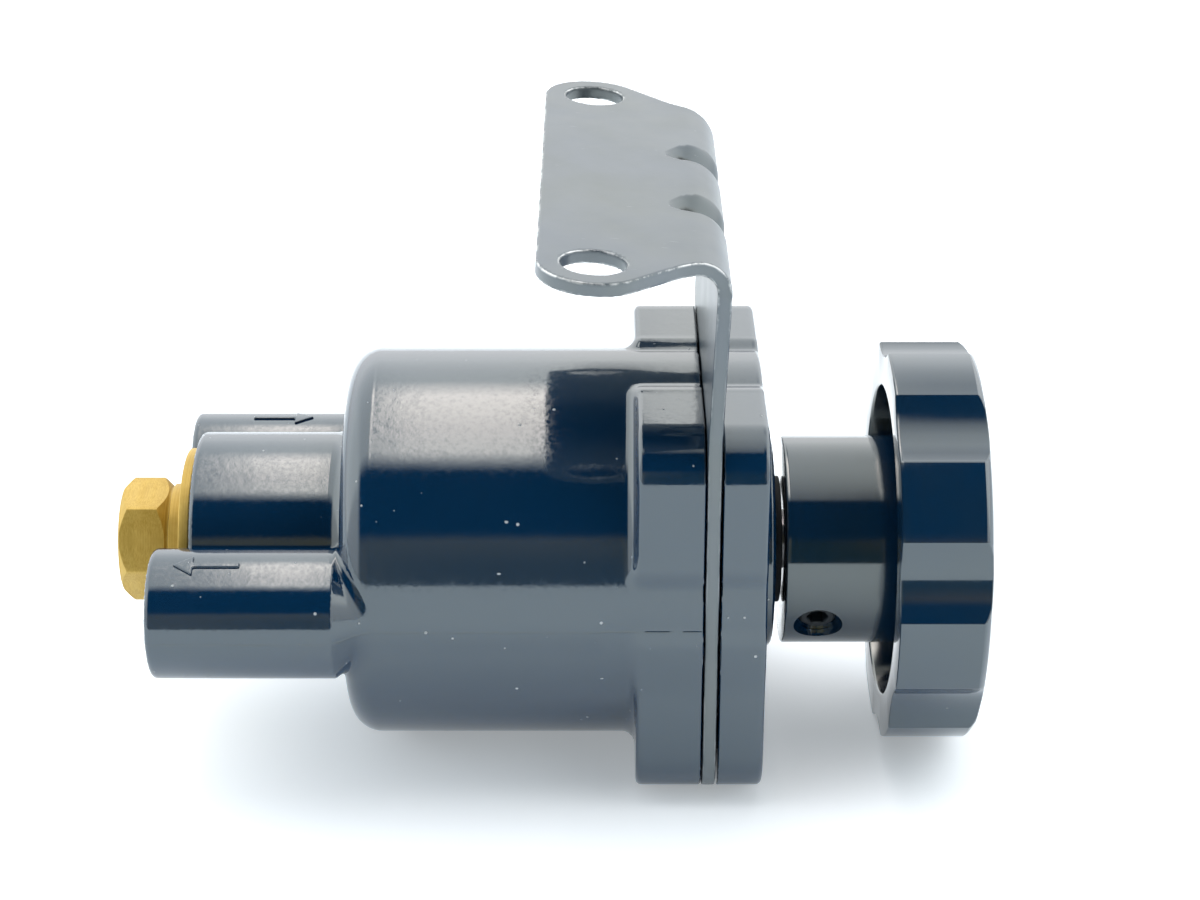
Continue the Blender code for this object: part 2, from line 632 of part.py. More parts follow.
def make_knob_set_screw():
    """Socket set screw that presses on the stem's flat."""
    bm = bmesh.new()
    add_turned(bm, [(STEM_FLAT + GAP, 0.0), (STEM_FLAT + GAP, 2.0), (5.4, 2.9), (15.3, 2.9),
                    (15.3, 1.7), (12.5, 1.6), (12.5, 0.0)], 12)
    screw = finish_mesh("knob_set_screw", bm, BLACK_STEEL, (SET_SCREW_X, 0.0, AXIS_Z))
    outward = Vector((0.0, *around(1.0, SET_SCREW_ANGLE)))
    screw.rotation_mode = "QUATERNION"
    screw.rotation_quaternion = outward.to_track_quat("X", "Z")
    return screw


def main():
    clear_scene()
    make_valve_body()
    make_cover()
    make_bracket()
    make_cover_gasket()
    make_cover_screws()
    make_bottom_plug()
    make_plug_o_ring()
    make_poppet()
    make_poppet_seal()
    make_poppet_spring()
    make_valve_seat()
    make_seat_o_ring()
    make_piston()
    make_piston_seal()
    make_range_spring()
    make_spring_nut()
    make_guide_pins()
    make_stem()
    make_stem_bushing()
    make_stem_o_ring()
    make_thrust_washer()
    make_retaining_ring()
    make_neck_washer()
    make_knob()
    make_knob_set_screw()


main()
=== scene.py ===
import math

import bmesh
import bpy
import numpy as np
from mathutils import Matrix, Vector


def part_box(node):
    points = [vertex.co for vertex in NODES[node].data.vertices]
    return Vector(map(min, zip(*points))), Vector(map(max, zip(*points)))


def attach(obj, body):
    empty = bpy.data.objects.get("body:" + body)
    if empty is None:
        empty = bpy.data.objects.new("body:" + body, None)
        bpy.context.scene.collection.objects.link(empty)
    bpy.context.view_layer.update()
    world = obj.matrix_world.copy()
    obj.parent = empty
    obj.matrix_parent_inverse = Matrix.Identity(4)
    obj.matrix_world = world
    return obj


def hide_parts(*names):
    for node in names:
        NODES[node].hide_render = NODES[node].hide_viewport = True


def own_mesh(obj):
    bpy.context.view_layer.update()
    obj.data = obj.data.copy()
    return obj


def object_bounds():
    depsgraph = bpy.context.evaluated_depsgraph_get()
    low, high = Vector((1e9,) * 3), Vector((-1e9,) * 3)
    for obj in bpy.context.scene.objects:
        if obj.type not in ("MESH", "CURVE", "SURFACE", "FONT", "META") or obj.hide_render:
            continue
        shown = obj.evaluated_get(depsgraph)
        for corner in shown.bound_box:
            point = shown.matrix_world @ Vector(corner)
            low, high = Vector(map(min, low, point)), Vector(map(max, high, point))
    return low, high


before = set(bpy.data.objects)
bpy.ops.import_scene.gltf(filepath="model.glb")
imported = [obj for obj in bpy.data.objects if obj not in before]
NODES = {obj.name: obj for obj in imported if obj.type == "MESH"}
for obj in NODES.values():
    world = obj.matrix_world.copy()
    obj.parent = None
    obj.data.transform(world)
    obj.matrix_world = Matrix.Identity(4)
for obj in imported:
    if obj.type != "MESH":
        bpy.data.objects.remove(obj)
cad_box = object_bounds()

# The looks of a hand-knob regulating valve. Shapes are worked out in millimetres in the
# CAD frame: X along the valve axis towards the knob, Z up from the bracket's top face.
MM = 0.001


def box_mm(node):
    low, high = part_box(node)
    return low / MM, high / MM


body_low, body_high = box_mm("valve_body")
cover_low, cover_high = box_mm("cover")
knob_low, knob_high = box_mm("knob")
plug_low, _ = box_mm("bottom_plug")

AXIS_Z = (knob_low.z + knob_high.z) / 2
FLANGE_INSET = 0.16  # the square flange lies just inside the round can
FLANGE_HALF = (cover_high.y - cover_low.y) / 2 - FLANGE_INSET
BODY_R = FLANGE_HALF + FLANGE_INSET
FLANGE_CORNER_R = 8.0
PAD_START = 7.4
SCREW_PITCH_HALF = 22.5


# ---- distance fields, mm
def join(a, b, radius):
    """Union of two fields with a fillet."""
    reach = np.hypot(np.maximum(radius - a, 0.0), np.maximum(radius - b, 0.0))
    return np.maximum(radius, np.minimum(a, b)) - reach


def meet(a, b, radius):
    """Intersection of two fields with a rounded edge."""
    reach = np.hypot(np.maximum(radius + a, 0.0), np.maximum(radius + b, 0.0))
    return np.minimum(-radius, np.maximum(a, b)) + reach


def cut(a, b, radius):
    return meet(a, -b, radius)


def rounded_box(u, v, half_u, half_v, radius):
    qu = np.abs(u) - half_u + radius
    qv = np.abs(v) - half_v + radius
    outside = np.hypot(np.maximum(qu, 0.0), np.maximum(qv, 0.0))
    return outside + np.minimum(np.maximum(qu, qv), 0.0) - radius


# ---- meshing
def grid_line(*stretches):
    """Grid coordinates from (start, end, spacing) stretches that follow each other."""
    line = [np.array([stretches[0][0]])]
    for start, end, spacing in stretches:
        count = max(1, round((end - start) / spacing))
        line.append(np.linspace(start, end, count + 1)[1:])
    return np.concatenate(line)


def surface_net(field, lines):
    """Vertices and quads on the zero surface of `field` over a rectilinear grid."""
    shape = tuple(len(line) for line in lines)
    values = np.empty(shape)
    for index, x in enumerate(lines[0]):
        y, z = np.meshgrid(lines[1], lines[2], indexing="ij")
        values[index] = field(np.full_like(y, x), y, z)
    inside = values < 0.0
    cells = tuple(count - 1 for count in shape)
    corners = [(i, j, k) for i in (0, 1) for j in (0, 1) for k in (0, 1)]
    filled = np.zeros(cells, int)
    for i, j, k in corners:
        filled += inside[i:i + cells[0], j:j + cells[1], k:k + cells[2]]
    active = np.argwhere((filled > 0) & (filled < 8))
    number = np.full(cells, -1)
    number[tuple(active.T)] = np.arange(len(active))

    total = np.zeros((len(active), 3))
    crossings = np.zeros((len(active), 1))
    for axis in range(3):
        for corner in corners:
            if corner[axis]:
                continue
            first = active + corner
            second = first.copy()
            second[:, axis] += 1
            a, b = values[tuple(first.T)], values[tuple(second.T)]
            crossed = (a < 0.0) != (b < 0.0)
            share = np.where(crossed, a / np.where(crossed, a - b, 1.0), 0.0)
            start = np.stack([lines[n][first[:, n]] for n in range(3)], 1)
            end = np.stack([lines[n][second[:, n]] for n in range(3)], 1)
            point = start + (end - start) * share[:, None]
            total += point * crossed[:, None]
            crossings += crossed[:, None]
    points = total / crossings

    quads = []
    for axis in range(3):
        u, v = (axis + 1) % 3, (axis + 2) % 3
        near = [slice(None)] * 3
        far = [slice(None)] * 3
        near[axis], far[axis] = slice(0, -1), slice(1, None)
        change = inside[tuple(near)] != inside[tuple(far)]
        edges = np.argwhere(change)
        keep = (edges[:, u] > 0) & (edges[:, v] > 0)
        keep &= (edges[:, u] < shape[u] - 1) & (edges[:, v] < shape[v] - 1)
        edges = edges[keep]
        ring = []
        for step_u, step_v in ((-1, -1), (0, -1), (0, 0), (-1, 0)):
            cell = edges.copy()
            cell[:, u] += step_u
            cell[:, v] += step_v
            ring.append(number[tuple(cell.T)])
        faces = np.stack(ring, 1)
        outward = inside[tuple(edges.T)]
        faces[~outward] = faces[~outward][:, ::-1]
        quads.append(faces)
    return points, np.concatenate(quads)


def gradient(field, points, step=0.02):
    slopes = []
    for axis in range(3):
        offset = np.zeros(3)
        offset[axis] = step
        ahead, behind = points + offset, points - offset
        slopes.append((field(*ahead.T) - field(*behind.T)) / (2 * step))
    return np.stack(slopes, 1)


def settle(field, points, reach=0.35, rounds=6):
    """Move points onto the zero surface and return them with the normals there."""
    start = points.copy()
    for _ in range(rounds):
        slope = gradient(field, points)
        size = np.maximum((slope ** 2).sum(1, keepdims=True), 0.05)
        points = points - slope * field(*points.T)[:, None] / size
        drift = points - start
        length = np.maximum(np.linalg.norm(drift, axis=1, keepdims=True), 1e-9)
        points = start + drift * np.minimum(1.0, reach / length)
    slope = gradient(field, points)
    return points, slope / np.maximum(np.linalg.norm(slope, axis=1, keepdims=True), 1e-9)


def new_piece(name, points, faces, material, normals=None, z_shift=0.0):
    """Mesh object from points in millimetres."""
    mesh = bpy.data.meshes.new(name)
    placed = (np.asarray(points) + (0.0, 0.0, z_shift)) * MM
    mesh.from_pydata(placed.tolist(), [], [list(map(int, face)) for face in faces])
    mesh.update()
    mesh.shade_smooth()
    if normals is not None:
        mesh.normals_split_custom_set_from_vertices(normals.tolist())
    mesh.materials.append(material)
    piece = bpy.data.objects.new(name, mesh)
    bpy.context.scene.collection.objects.link(piece)
    return piece


def net_piece(name, field, lines, material):
    points, faces = surface_net(field, lines)
    points, normals = settle(field, points)
    return new_piece(name, points, faces, material, normals, AXIS_Z)


# ---- castings, fields
SHOULDER_R = 4.8
BODY_REAR_X = -38.6
FLANGE_BACK_X = 6.4
BODY_FRONT_X = body_high.x
BOSS_R = 17.2
BOSS_END_X = -63.0
PORT_R = 9.95
PORT_Y = 24.94
PORT_END_X = body_low.x
PORT_EDGE_X = -39.3  # here the port starts to taper into the shoulder
PORT_BORE_R = 6.5
PORT_TAPER, PORT_TAPER_DEPTH = 0.8, 4.6
PORT_DEPTHS = ((-1.0, 17.2), (1.0, 21.2))  # side of the axis, depth of the port's bore
MAIN_BORE_R, MAIN_BORE_END_X = 23.5, -30.0
PLUG_BORE_R, PLUG_BORE_END_X = 12.3, -52.0
INNER_BORES = ((9.0, -45.0), (7.3, -38.0), (6.0, -25.0))  # radius, front end
BODY_SCREW_R, BODY_SCREW_X = 3.1, 7.6
VALLEY_DROP = 4.0  # the flange's valleys start under the can's surface
PAD_R, PAD_FILLET = 3.0, 1.8
CAN_FILLET, BOSS_FILLET, PORT_FILLET = 2.0, 2.8, 1.6
CASTING_EDGE = 0.9
PARTED_GAP, PARTED_EDGE = 0.1, 0.12  # the machined joint faces and their sharp edges
COVER_BACK_X, COVER_FRONT_X, COVER_BOSS_X = cover_low.x, cover_high.x - 2.1, cover_high.x


def lobes(y, z, valley_r):
    """Outline field: a circle with four corner pads that reach a rounded square.

    The lower pads run up to the parting line at mid height, flush with the circle.
    """
    middle = (FLANGE_HALF + PAD_START) / 2
    half = (FLANGE_HALF - PAD_START) / 2
    upper = rounded_box(np.abs(y) - middle, z - middle, half, half, PAD_R)
    lower = rounded_box(np.abs(y) - middle, z + FLANGE_HALF / 2, half, FLANGE_HALF / 2, PAD_R)
    pad = np.minimum(upper, lower)
    square = rounded_box(y, z, FLANGE_HALF, FLANGE_HALF, FLANGE_CORNER_R)
    return join(np.hypot(y, z) - valley_r, np.maximum(pad, square), PAD_FILLET)


def screw_distance(y, z):
    return np.hypot(np.abs(y) - SCREW_PITCH_HALF, np.abs(z) - SCREW_PITCH_HALF)


def body_field(x, y, z):
    """Die-cast body with pads, centre boss, ports and all its bores."""
    radial = np.hypot(y, z)
    can = meet(radial - BODY_R, BODY_REAR_X - x, SHOULDER_R)
    flange = meet(lobes(y, z, BODY_R - VALLEY_DROP), FLANGE_BACK_X - x, 1.0)
    can = join(can, flange, CAN_FILLET)
    rear = np.maximum(meet(radial - BOSS_R, BOSS_END_X - x, CASTING_EDGE), x)
    solid = join(can, rear, BOSS_FILLET)
    for side in (-1.0, 1.0):
        neck = np.clip((x - PORT_EDGE_X) * PORT_TAPER, 0.0, PORT_TAPER_DEPTH)
        port = np.hypot(y - side * PORT_Y, z) - PORT_R + neck
        port = np.maximum(meet(port, PORT_END_X - x, CASTING_EDGE), x)
        solid = join(solid, port, PORT_FILLET)
    solid = meet(solid, x - BODY_FRONT_X - PARTED_GAP, PARTED_EDGE)

    main_bore = np.maximum(radial - MAIN_BORE_R, MAIN_BORE_END_X - x)
    plug_bore = np.maximum(radial - PLUG_BORE_R, x - PLUG_BORE_END_X)
    solid = cut(cut(solid, main_bore, 0.3), plug_bore, 0.3)
    for radius, end in INNER_BORES:
        solid = np.maximum(solid, -np.maximum(radial - radius, x - end))
    for side, depth in PORT_DEPTHS:
        bore = np.hypot(y - side * PORT_Y, z) - PORT_BORE_R
        solid = cut(solid, np.maximum(bore, x - PORT_END_X - depth), 0.5)
    screw_hole = np.maximum(screw_distance(y, z) - BODY_SCREW_R, BODY_SCREW_X - x)
    return np.maximum(solid, -screw_hole)


COVER_BOSS_R = 17.2
BUSHING_BORE_R, SEAT_BORE_R, SEAT_X = 7.0, 8.5, 26.2
COVER_SCREW_R, SINK_X, SINK_DEPTH, SINK_SPREAD = 3.3, 22.4, 3.4, 3.2
GROOVE_R, GROOVE_HALF, GROOVE_END_X = 26.15, 1.95, 19.9
VENT_R, VENT_DROP = 1.6, 20.0
PIN_HOLE_R, PIN_Y, PIN_HOLE_END_X = 1.8, 17.0, 22.3


def cover_field(x, y, z):
    """Front cover with its low boss, bushing bore, countersinks and gasket groove."""
    radial = np.hypot(y, z)
    plate = meet(lobes(y, z, BODY_R), x - COVER_FRONT_X, CASTING_EDGE)
    boss = meet(radial - COVER_BOSS_R, x - COVER_BOSS_X, 0.8)
    solid = meet(join(plate, boss, 1.0), COVER_BACK_X - PARTED_GAP - x, PARTED_EDGE)
    solid = cut(solid, radial - BUSHING_BORE_R, 0.2)
    solid = cut(solid, np.maximum(radial - SEAT_BORE_R, SEAT_X - x), 0.3)
    sink = np.clip(x - SINK_X, 0.0, SINK_DEPTH) * (SINK_SPREAD / SINK_DEPTH)
    solid = cut(solid, screw_distance(y, z) - COVER_SCREW_R - sink, 0.2)
    groove = np.maximum(np.abs(radial - GROOVE_R) - GROOVE_HALF, x - GROOVE_END_X)
    vent = np.hypot(y, z + VENT_DROP) - VENT_R
    pins = np.maximum(np.hypot(np.abs(y) - PIN_Y, z) - PIN_HOLE_R, x - PIN_HOLE_END_X)
    for gap in (groove, vent, pins):
        solid = np.maximum(solid, -gap)
    return solid


def make_castings(body_finish, cover_finish):
    """Both castings; their grids are finer where edges and fillets lie."""
    x_line = grid_line((-68.4, -65.2, 0.4), (-65.2, -45.2, 0.9), (-45.2, -31.2, 0.5),
                       (-31.2, 1.2, 1.2), (1.2, 8.2, 0.5), (8.2, 15.2, 1.0), (15.2, 17.2, 0.4))
    body_lines = x_line, grid_line((-36.0, 36.0, 0.7)), grid_line((-32.0, 32.0, 0.7))
    body = net_piece("body_casting", body_field, body_lines, body_finish)
    dress(body, "housing", "body_enamel", "valve_body")
    x_line = grid_line((18.4, 21.2, 0.4), (21.2, 24.8, 0.7), (24.8, 29.2, 0.4))
    side = grid_line((-32.0, 32.0, 0.55))
    cover = net_piece("cover_casting", cover_field, (x_line, side, side), cover_finish)
    dress(cover, "housing", "body_enamel", "cover")


# ---- bent bracket
SHEET_T = 2.1
PLATE_TILT = math.radians(4.2)
LEG_LEAN = math.radians(1.8)
BEND_R = 4.65
HOLE_Y = 37.9
HOLE_R = 4.7
EAR_R = 8.0
LEG_X = BODY_FRONT_X + 0.3 + SHEET_T / 2
LEAN_RISE = 31.0  # the leg leans from this far above the valve axis up
LEAN_Z = AXIS_Z + LEAN_RISE
DART_Y = (11.0, -12.0)
DART_DEPTH, DART_BEFORE, DART_AFTER = 2.5, 3.2, 4.6  # how deep, how far past the bend's ends
# the painted shade in the darts' valleys: how it leans along the valley, its half width and its
# half length
CREASE_SHADE_LEAN, CREASE_SHADE_HALF_WIDTH, CREASE_SHADE_HALF_LENGTH = 0.55, 0.5, 1.2
LEG_TOP_HALF, LEG_FADE = 33.6, 6.0  # half width under the bend, length of the change in wear
OPENING_R, SHEET_SCREW_R, EAR_FILLET = 24.0, 3.4, 4.0


def sheet_path():
    """Middle line of the sheet in the XZ plane: plate, bend and leg."""
    run = np.array([math.cos(PLATE_TILT), -math.sin(PLATE_TILT)])
    up = np.array([math.sin(PLATE_TILT), math.cos(PLATE_TILT)])
    down = np.array([-math.sin(LEG_LEAN), -math.cos(LEG_LEAN)])
    start = -up * SHEET_T / 2
    kink = np.array([LEG_X, LEAN_Z])
    to_kink = kink - start
    along = (to_kink[0] * down[1] - to_kink[1] * down[0]) / (run[0] * down[1] - run[1] * down[0])
    turn = math.acos(run @ down)
    setback = BEND_R * math.tan(turn / 2)
    bend_start = along - setback
    bend_length = BEND_R * turn
    leg_start = start + run * along + down * setback
    kink_s = bend_start + bend_length + np.linalg.norm(kink - leg_start)
    return {"run": run, "up": up, "down": down, "start": start, "bend_start": bend_start,
            "bend_end": bend_start + bend_length, "leg_start": leg_start, "kink_s": kink_s,
            "centre": start + run * bend_start - up * BEND_R}


PATH = sheet_path()
AXIS_S = PATH["kink_s"] + LEAN_RISE  # distance along the sheet at the valve axis


def bend_sheet(s, n):
    """XZ place of a point s along the sheet and n above its middle line."""
    s0, s1, s2 = PATH["bend_start"], PATH["bend_end"], PATH["kink_s"]
    flat = PATH["start"] + np.outer(s, PATH["run"]) + np.outer(n, PATH["up"])
    angle = (s - s0) / BEND_R + PLATE_TILT
    normal = np.stack([np.sin(angle), np.cos(angle)], 1)
    arc = PATH["centre"] + normal * (BEND_R + n)[:, None]
    lean_out = np.array([-PATH["down"][1], PATH["down"][0]])
    leg = PATH["leg_start"] + np.outer(s - s1, PATH["down"]) + np.outer(n, lean_out)
    below = np.stack([LEG_X + n, LEAN_Z - (s - s2)], 1)
    place = np.where((s < s0)[:, None], flat, arc)
    place = np.where((s > s1)[:, None], leg, place)
    return np.where((s > s2)[:, None], below, place)


def dart_depth(s, y):
    """How far the two stiffening darts push the sheet in across the bend."""
    first, last = PATH["bend_start"] - DART_BEFORE, PATH["bend_end"] + DART_AFTER
    ends = np.clip(np.minimum(s - first, last - s), 0.0, None)
    along = DART_DEPTH * np.tanh(ends / DART_DEPTH)
    depth = np.zeros_like(s)
    for middle in DART_Y:
        steep = np.where(y > middle, 1.7, 0.8)
        across = np.clip(np.abs(y - middle) / (1.0 + steep * along), 0.0, 1.0)
        depth += along * (0.6 * (0.5 + 0.5 * np.cos(math.pi * across)) + 0.4 * (1.0 - across))
    return depth


def ear_plate(s, v):
    """Plate outline: a rounded hull of the ears with 45 degree slopes towards the bend."""
    rise = v - HOLE_Y
    slope = (s + rise) * math.sqrt(0.5)
    on_slope = (s - rise) * math.sqrt(0.5)
    outside = np.where(on_slope > 0.0, slope, np.hypot(s, rise))
    outside = np.where(rise <= 0.0, np.where(s < 0.0, -s, slope), outside)
    inside = np.maximum(-s, slope)
    return np.where(inside < 0.0, inside, outside) - EAR_R


def sheet_field(s, y, n):
    v = np.abs(y)
    leg_share = np.clip((s - PATH["bend_end"]) / (PATH["kink_s"] - PATH["bend_end"]), 0.0, 1.0)
    width = LEG_TOP_HALF + (FLANGE_HALF - LEG_TOP_HALF) * leg_share
    clamped = rounded_box(y, s - AXIS_S, FLANGE_HALF, FLANGE_HALF, FLANGE_CORNER_R)
    strip = np.where(s > AXIS_S, clamped, np.maximum(v - width, -s))
    outline = join(ear_plate(s, v), strip, EAR_FILLET)
    outline = cut(outline, np.hypot(s, v - HOLE_Y) - HOLE_R, 0.01)
    outline = cut(outline, np.hypot(s - AXIS_S, y) - OPENING_R, 0.01)
    outline = np.maximum(outline, SHEET_SCREW_R - screw_distance(y, s - AXIS_S))
    return meet(outline, np.abs(n) - SHEET_T / 2, 0.3)


def make_bracket(finish):
    """The sheet is meshed flat, then bent; attributes mark its edges, its leg and the painted
    shade in the darts' valleys.
    """
    half = SHEET_T / 2
    thick = grid_line((-half - 0.45, -half + 0.35, 0.2), (-half + 0.35, half - 0.35, 0.7),
                      (half - 0.35, half + 0.45, 0.2))
    s_line = grid_line((-9.0, PATH["bend_start"] - 4.0, 0.6),
                       (PATH["bend_start"] - 4.0, PATH["bend_end"] + 5.0, 0.4),
                       (PATH["bend_end"] + 5.0, AXIS_S + FLANGE_HALF + 1.0, 0.7))
    points, faces = surface_net(sheet_field, (s_line, grid_line((-47.0, 47.0, 0.6)), thick))
    points, flat_normals = settle(sheet_field, points, 0.3)

    def bent(flat):
        place = bend_sheet(flat[:, 0], flat[:, 2] - dart_depth(flat[:, 0], flat[:, 1]))
        return np.stack([place[:, 0], flat[:, 1], place[:, 1]], 1)

    step = 0.02
    columns = [(bent(points + offset) - bent(points - offset)) / (2 * step)
               for offset in np.eye(3) * step]
    jacobian = np.stack(columns, 2)
    normals = np.einsum("nij,nj->ni", np.linalg.inv(jacobian).transpose(0, 2, 1), flat_normals)
    normals /= np.linalg.norm(normals, axis=1, keepdims=True)
    piece = new_piece("bracket_sheet", bent(points), faces, finish, normals)
    edge = 1.0 - np.clip(np.abs(flat_normals[:, 2]), 0.0, 1.0)
    clamped = np.clip((points[:, 0] - PATH["bend_end"]) / LEG_FADE, 0.0, 1.0)

    # painted shade: a short black line in each dart's valley, where the bend starts, stands in for
    # the shadow in the slit there
    from_start = points[:, 0] - PATH["bend_start"]
    shift = CREASE_SHADE_LEAN * np.clip(from_start + DART_BEFORE, 0.0, DART_DEPTH)
    valley = np.min([np.abs(points[:, 1] - middle - shift) for middle in DART_Y], 0)
    crease_shade = np.clip(1.5 - valley / CREASE_SHADE_HALF_WIDTH, 0.0, 1.0)
    crease_shade *= np.clip(1.5 - np.abs(from_start + 0.2) / CREASE_SHADE_HALF_LENGTH, 0.0, 1.0)
    for attribute, values in (("wear", edge), ("clamped", clamped), ("crease_shade", crease_shade)):
        layer = piece.data.attributes.new(attribute, "FLOAT", "POINT")
        layer.data.foreach_set("value", values.astype(np.float32))
    dress(piece, "housing", "bracket_sheet", "mounting_bracket")


# ---- turned parts
def rounded_profile(corners, steps=3):
    """Profile of (x, radius) points from (x, radius, rounding) corners, open at both ends."""
    points = [corners[0][:2]]
    for before, here, after in zip(corners, corners[1:], corners[2:]):
        place = np.array(here[:2])
        rounding = here[2] if len(here) > 2 else 0.0
        if rounding == 0.0:
            points.append(tuple(place))
            continue
        back, on = np.array(before[:2]) - place, np.array(after[:2]) - place
        reach = min(rounding, 0.45 * np.linalg.norm(back), 0.45 * np.linalg.norm(on))
        start = place + back / np.linalg.norm(back) * reach
        end = place + on / np.linalg.norm(on) * reach
        for step in range(steps + 1):
            t = step / steps
            spot = start * (1 - t) ** 2 + place * 2 * t * (1 - t) + end * t ** 2
            points.append(tuple(spot))
    points.append(corners[-1][:2])
    return points


def lathe(name, profile, angles, finish, closed=False, shape=None, y=0.0, z=0.0):
    """Turn (x, radius) points about X; `shape` may change the x and radius at an angle."""
    points, rings = [], []
    for x, radius in profile:
        if radius == 0.0:
            rings.append([len(points)])
            points.append((x, y, z))
            continue
        ring = []
        for angle in angles:
            here_x, here_r = shape(x, radius, angle) if shape else (x, radius)
            ring.append(len(points))
            points.append((here_x, y - here_r * math.cos(angle), z + here_r * math.sin(angle)))
        rings.append(ring)
    faces = []
    pairs = list(zip(rings, rings[1:]))
    if closed:
        pairs.append((rings[-1], rings[0]))
    count = len(angles)
    for first, second in pairs:
        for step in range(count):
            after = (step + 1) % count
            corners = [second[step % len(second)], second[after % len(second)],
                       first[after % len(first)], first[step % len(first)]]
            faces.append(list(dict.fromkeys(corners)))
    return new_piece(name, points, faces, finish, None, AXIS_Z)


def even_angles(count):
    return [2 * math.pi * step / count for step in range(count)]


def keep_edges(piece, degrees=28.0):
    piece.data.set_sharp_from_angle(angle=math.radians(degrees))


def dress(piece, body, slot, *nodes):
    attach(piece, body)
    if nodes:
        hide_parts(*nodes)


HEX_MARK = 200.0  # in a profile it stands for a hexagon's own radius
HEX_AF = 17.3
HEX_TURN = math.radians(-5.0)


def hex_radius(angle):
    """Distance to the hexagon's side, with slightly broken corners."""
    sixth = math.pi / 3
    off = (angle - HEX_TURN) % sixth - sixth / 2
    sharp = HEX_AF / 2 / math.cos(off)
    return min(sharp, HEX_AF / 2 / math.cos(math.pi / 6) - 0.12)


def make_plug(finish):
    """Brass plug: hexagon with turned chamfers, neck, flange disc and hollow shank."""
    back, front = plug_low.x, -67.8
    flat_r = HEX_AF / 2 - 0.15

    def hexagon(x, radius, angle):
        if radius < HEX_MARK:
            return x, radius
        side = hex_radius(angle)
        lift = max(0.0, side - flat_r)
        return (x + lift, side) if x < (back + front) / 2 else (x - lift, side)

    corners = [(back, flat_r - 0.25)]
    corners += [(back, flat_r), (back, HEX_MARK), (front, HEX_MARK), (front, flat_r)]
    neck = rounded_profile([(front, flat_r), (-67.5, 8.3, 0.2), (-67.3, 8.9, 0.2),
                            (-65.4, 8.9, 0.6), (-64.9, 9.4, 0.2), (-64.9, 14.6, 0.35),
                            (-63.3, 14.6, 0.2), (-63.3, 12.0, 0.0), (-62.4, 12.0, 0.0),
                            (-62.4, 10.4, 0.0), (-60.6, 10.4, 0.0), (-60.6, 12.0, 0.0),
                            (-53.3, 12.0, 0.5), (-53.3, 6.2, 0.3), (-60.5, 6.2, 0.0),
                            (-60.5, 2.95, 0.0), (-63.5, 2.95, 0.0), (-63.5, 0.0)])
    profile = [(back, 0.0)] + corners + neck[1:]
    angles = sorted(HEX_TURN + math.pi / 3 * k + math.radians(off)
                    for k in range(6) for off in (-6.2, -4.5, -2.5, 0, 2.5, 4.5, 6.2, 12, 18,
                                                  24, 30, 36, 42, 48))
    plug = lathe("brass_plug", profile, angles, finish, shape=hexagon)
    keep_edges(plug, 20.0)
    dress(plug, "housing", "brass", "bottom_plug")


# ---- knob
KNOB_R = (knob_high.y - knob_low.y) / 2
HUB_R = 16.65
HUB_X = knob_low.x
KNOB_BACK_X = 46.0
RIM_INNER_R = 24.8
SCALLOPS = 8
PERIOD = 2 * math.pi / SCALLOPS
SCALLOP_FLOOR_R = 29.75
SCALLOP_CUT_R = 14.5
FIRST_LAND = math.radians(37.15)
CUTTER_OFF = SCALLOP_FLOOR_R + SCALLOP_CUT_R  # scallop cutter's distance from the axis
CORNER = math.acos((CUTTER_OFF ** 2 + KNOB_R ** 2 - SCALLOP_CUT_R ** 2)
                   / (2 * CUTTER_OFF * KNOB_R))  # angle from a scallop's middle to its corner
EDGE_BREAK = 0.12  # the rim's sharp front edge is broken by this much
CROWN_FROM_X = 58.6  # rings in front of this take their place from the crown
SET_SCREW_ANGLE = math.radians(-28.0)
SET_SCREW_X = 35.2
THREAD_PITCH = 0.8
CROWN = ((0.0, 62.2), (18.8, 62.0), (23.5, 61.4), (27.0, 60.6), (29.0, 60.15), (30.85, 59.7),
         (31.75, 58.8))  # radius, place of the knob's front


def rim_radius(angle):
    """Radius of the scalloped rim: the land circle cut by round scallops."""
    off = (angle - FIRST_LAND) % PERIOD - PERIOD / 2
    under = SCALLOP_CUT_R ** 2 - (CUTTER_OFF * math.sin(off)) ** 2
    if under <= 0.0:
        return KNOB_R
    scallop = CUTTER_OFF * math.cos(off) - math.sqrt(under)
    soft = 0.06
    share = min(max(0.5 + (scallop - KNOB_R) / (2 * soft), 0.0), 1.0)
    return scallop * (1 - share) + KNOB_R * share - soft * share * (1 - share)


def crown_x(radius):
    """Front surface of the knob at a radius."""
    radii, places = zip(*CROWN)
    return float(np.interp(radius, radii, places))


def set_screw_place():
    """Turns a shape that lies along X into the hub's set-screw hole."""
    outward = Vector((0.0, -math.cos(SET_SCREW_ANGLE), math.sin(SET_SCREW_ANGLE)))
    return (Matrix.Translation((SET_SCREW_X * MM, 0.0, AXIS_Z * MM))
            @ outward.to_track_quat("X", "Z").to_matrix().to_4x4())


def to_origin(piece):
    """Lathe shapes lie on the valve axis; this brings one back to the origin."""
    piece.data.transform(Matrix.Translation((0.0, 0.0, -AXIS_Z * MM)))


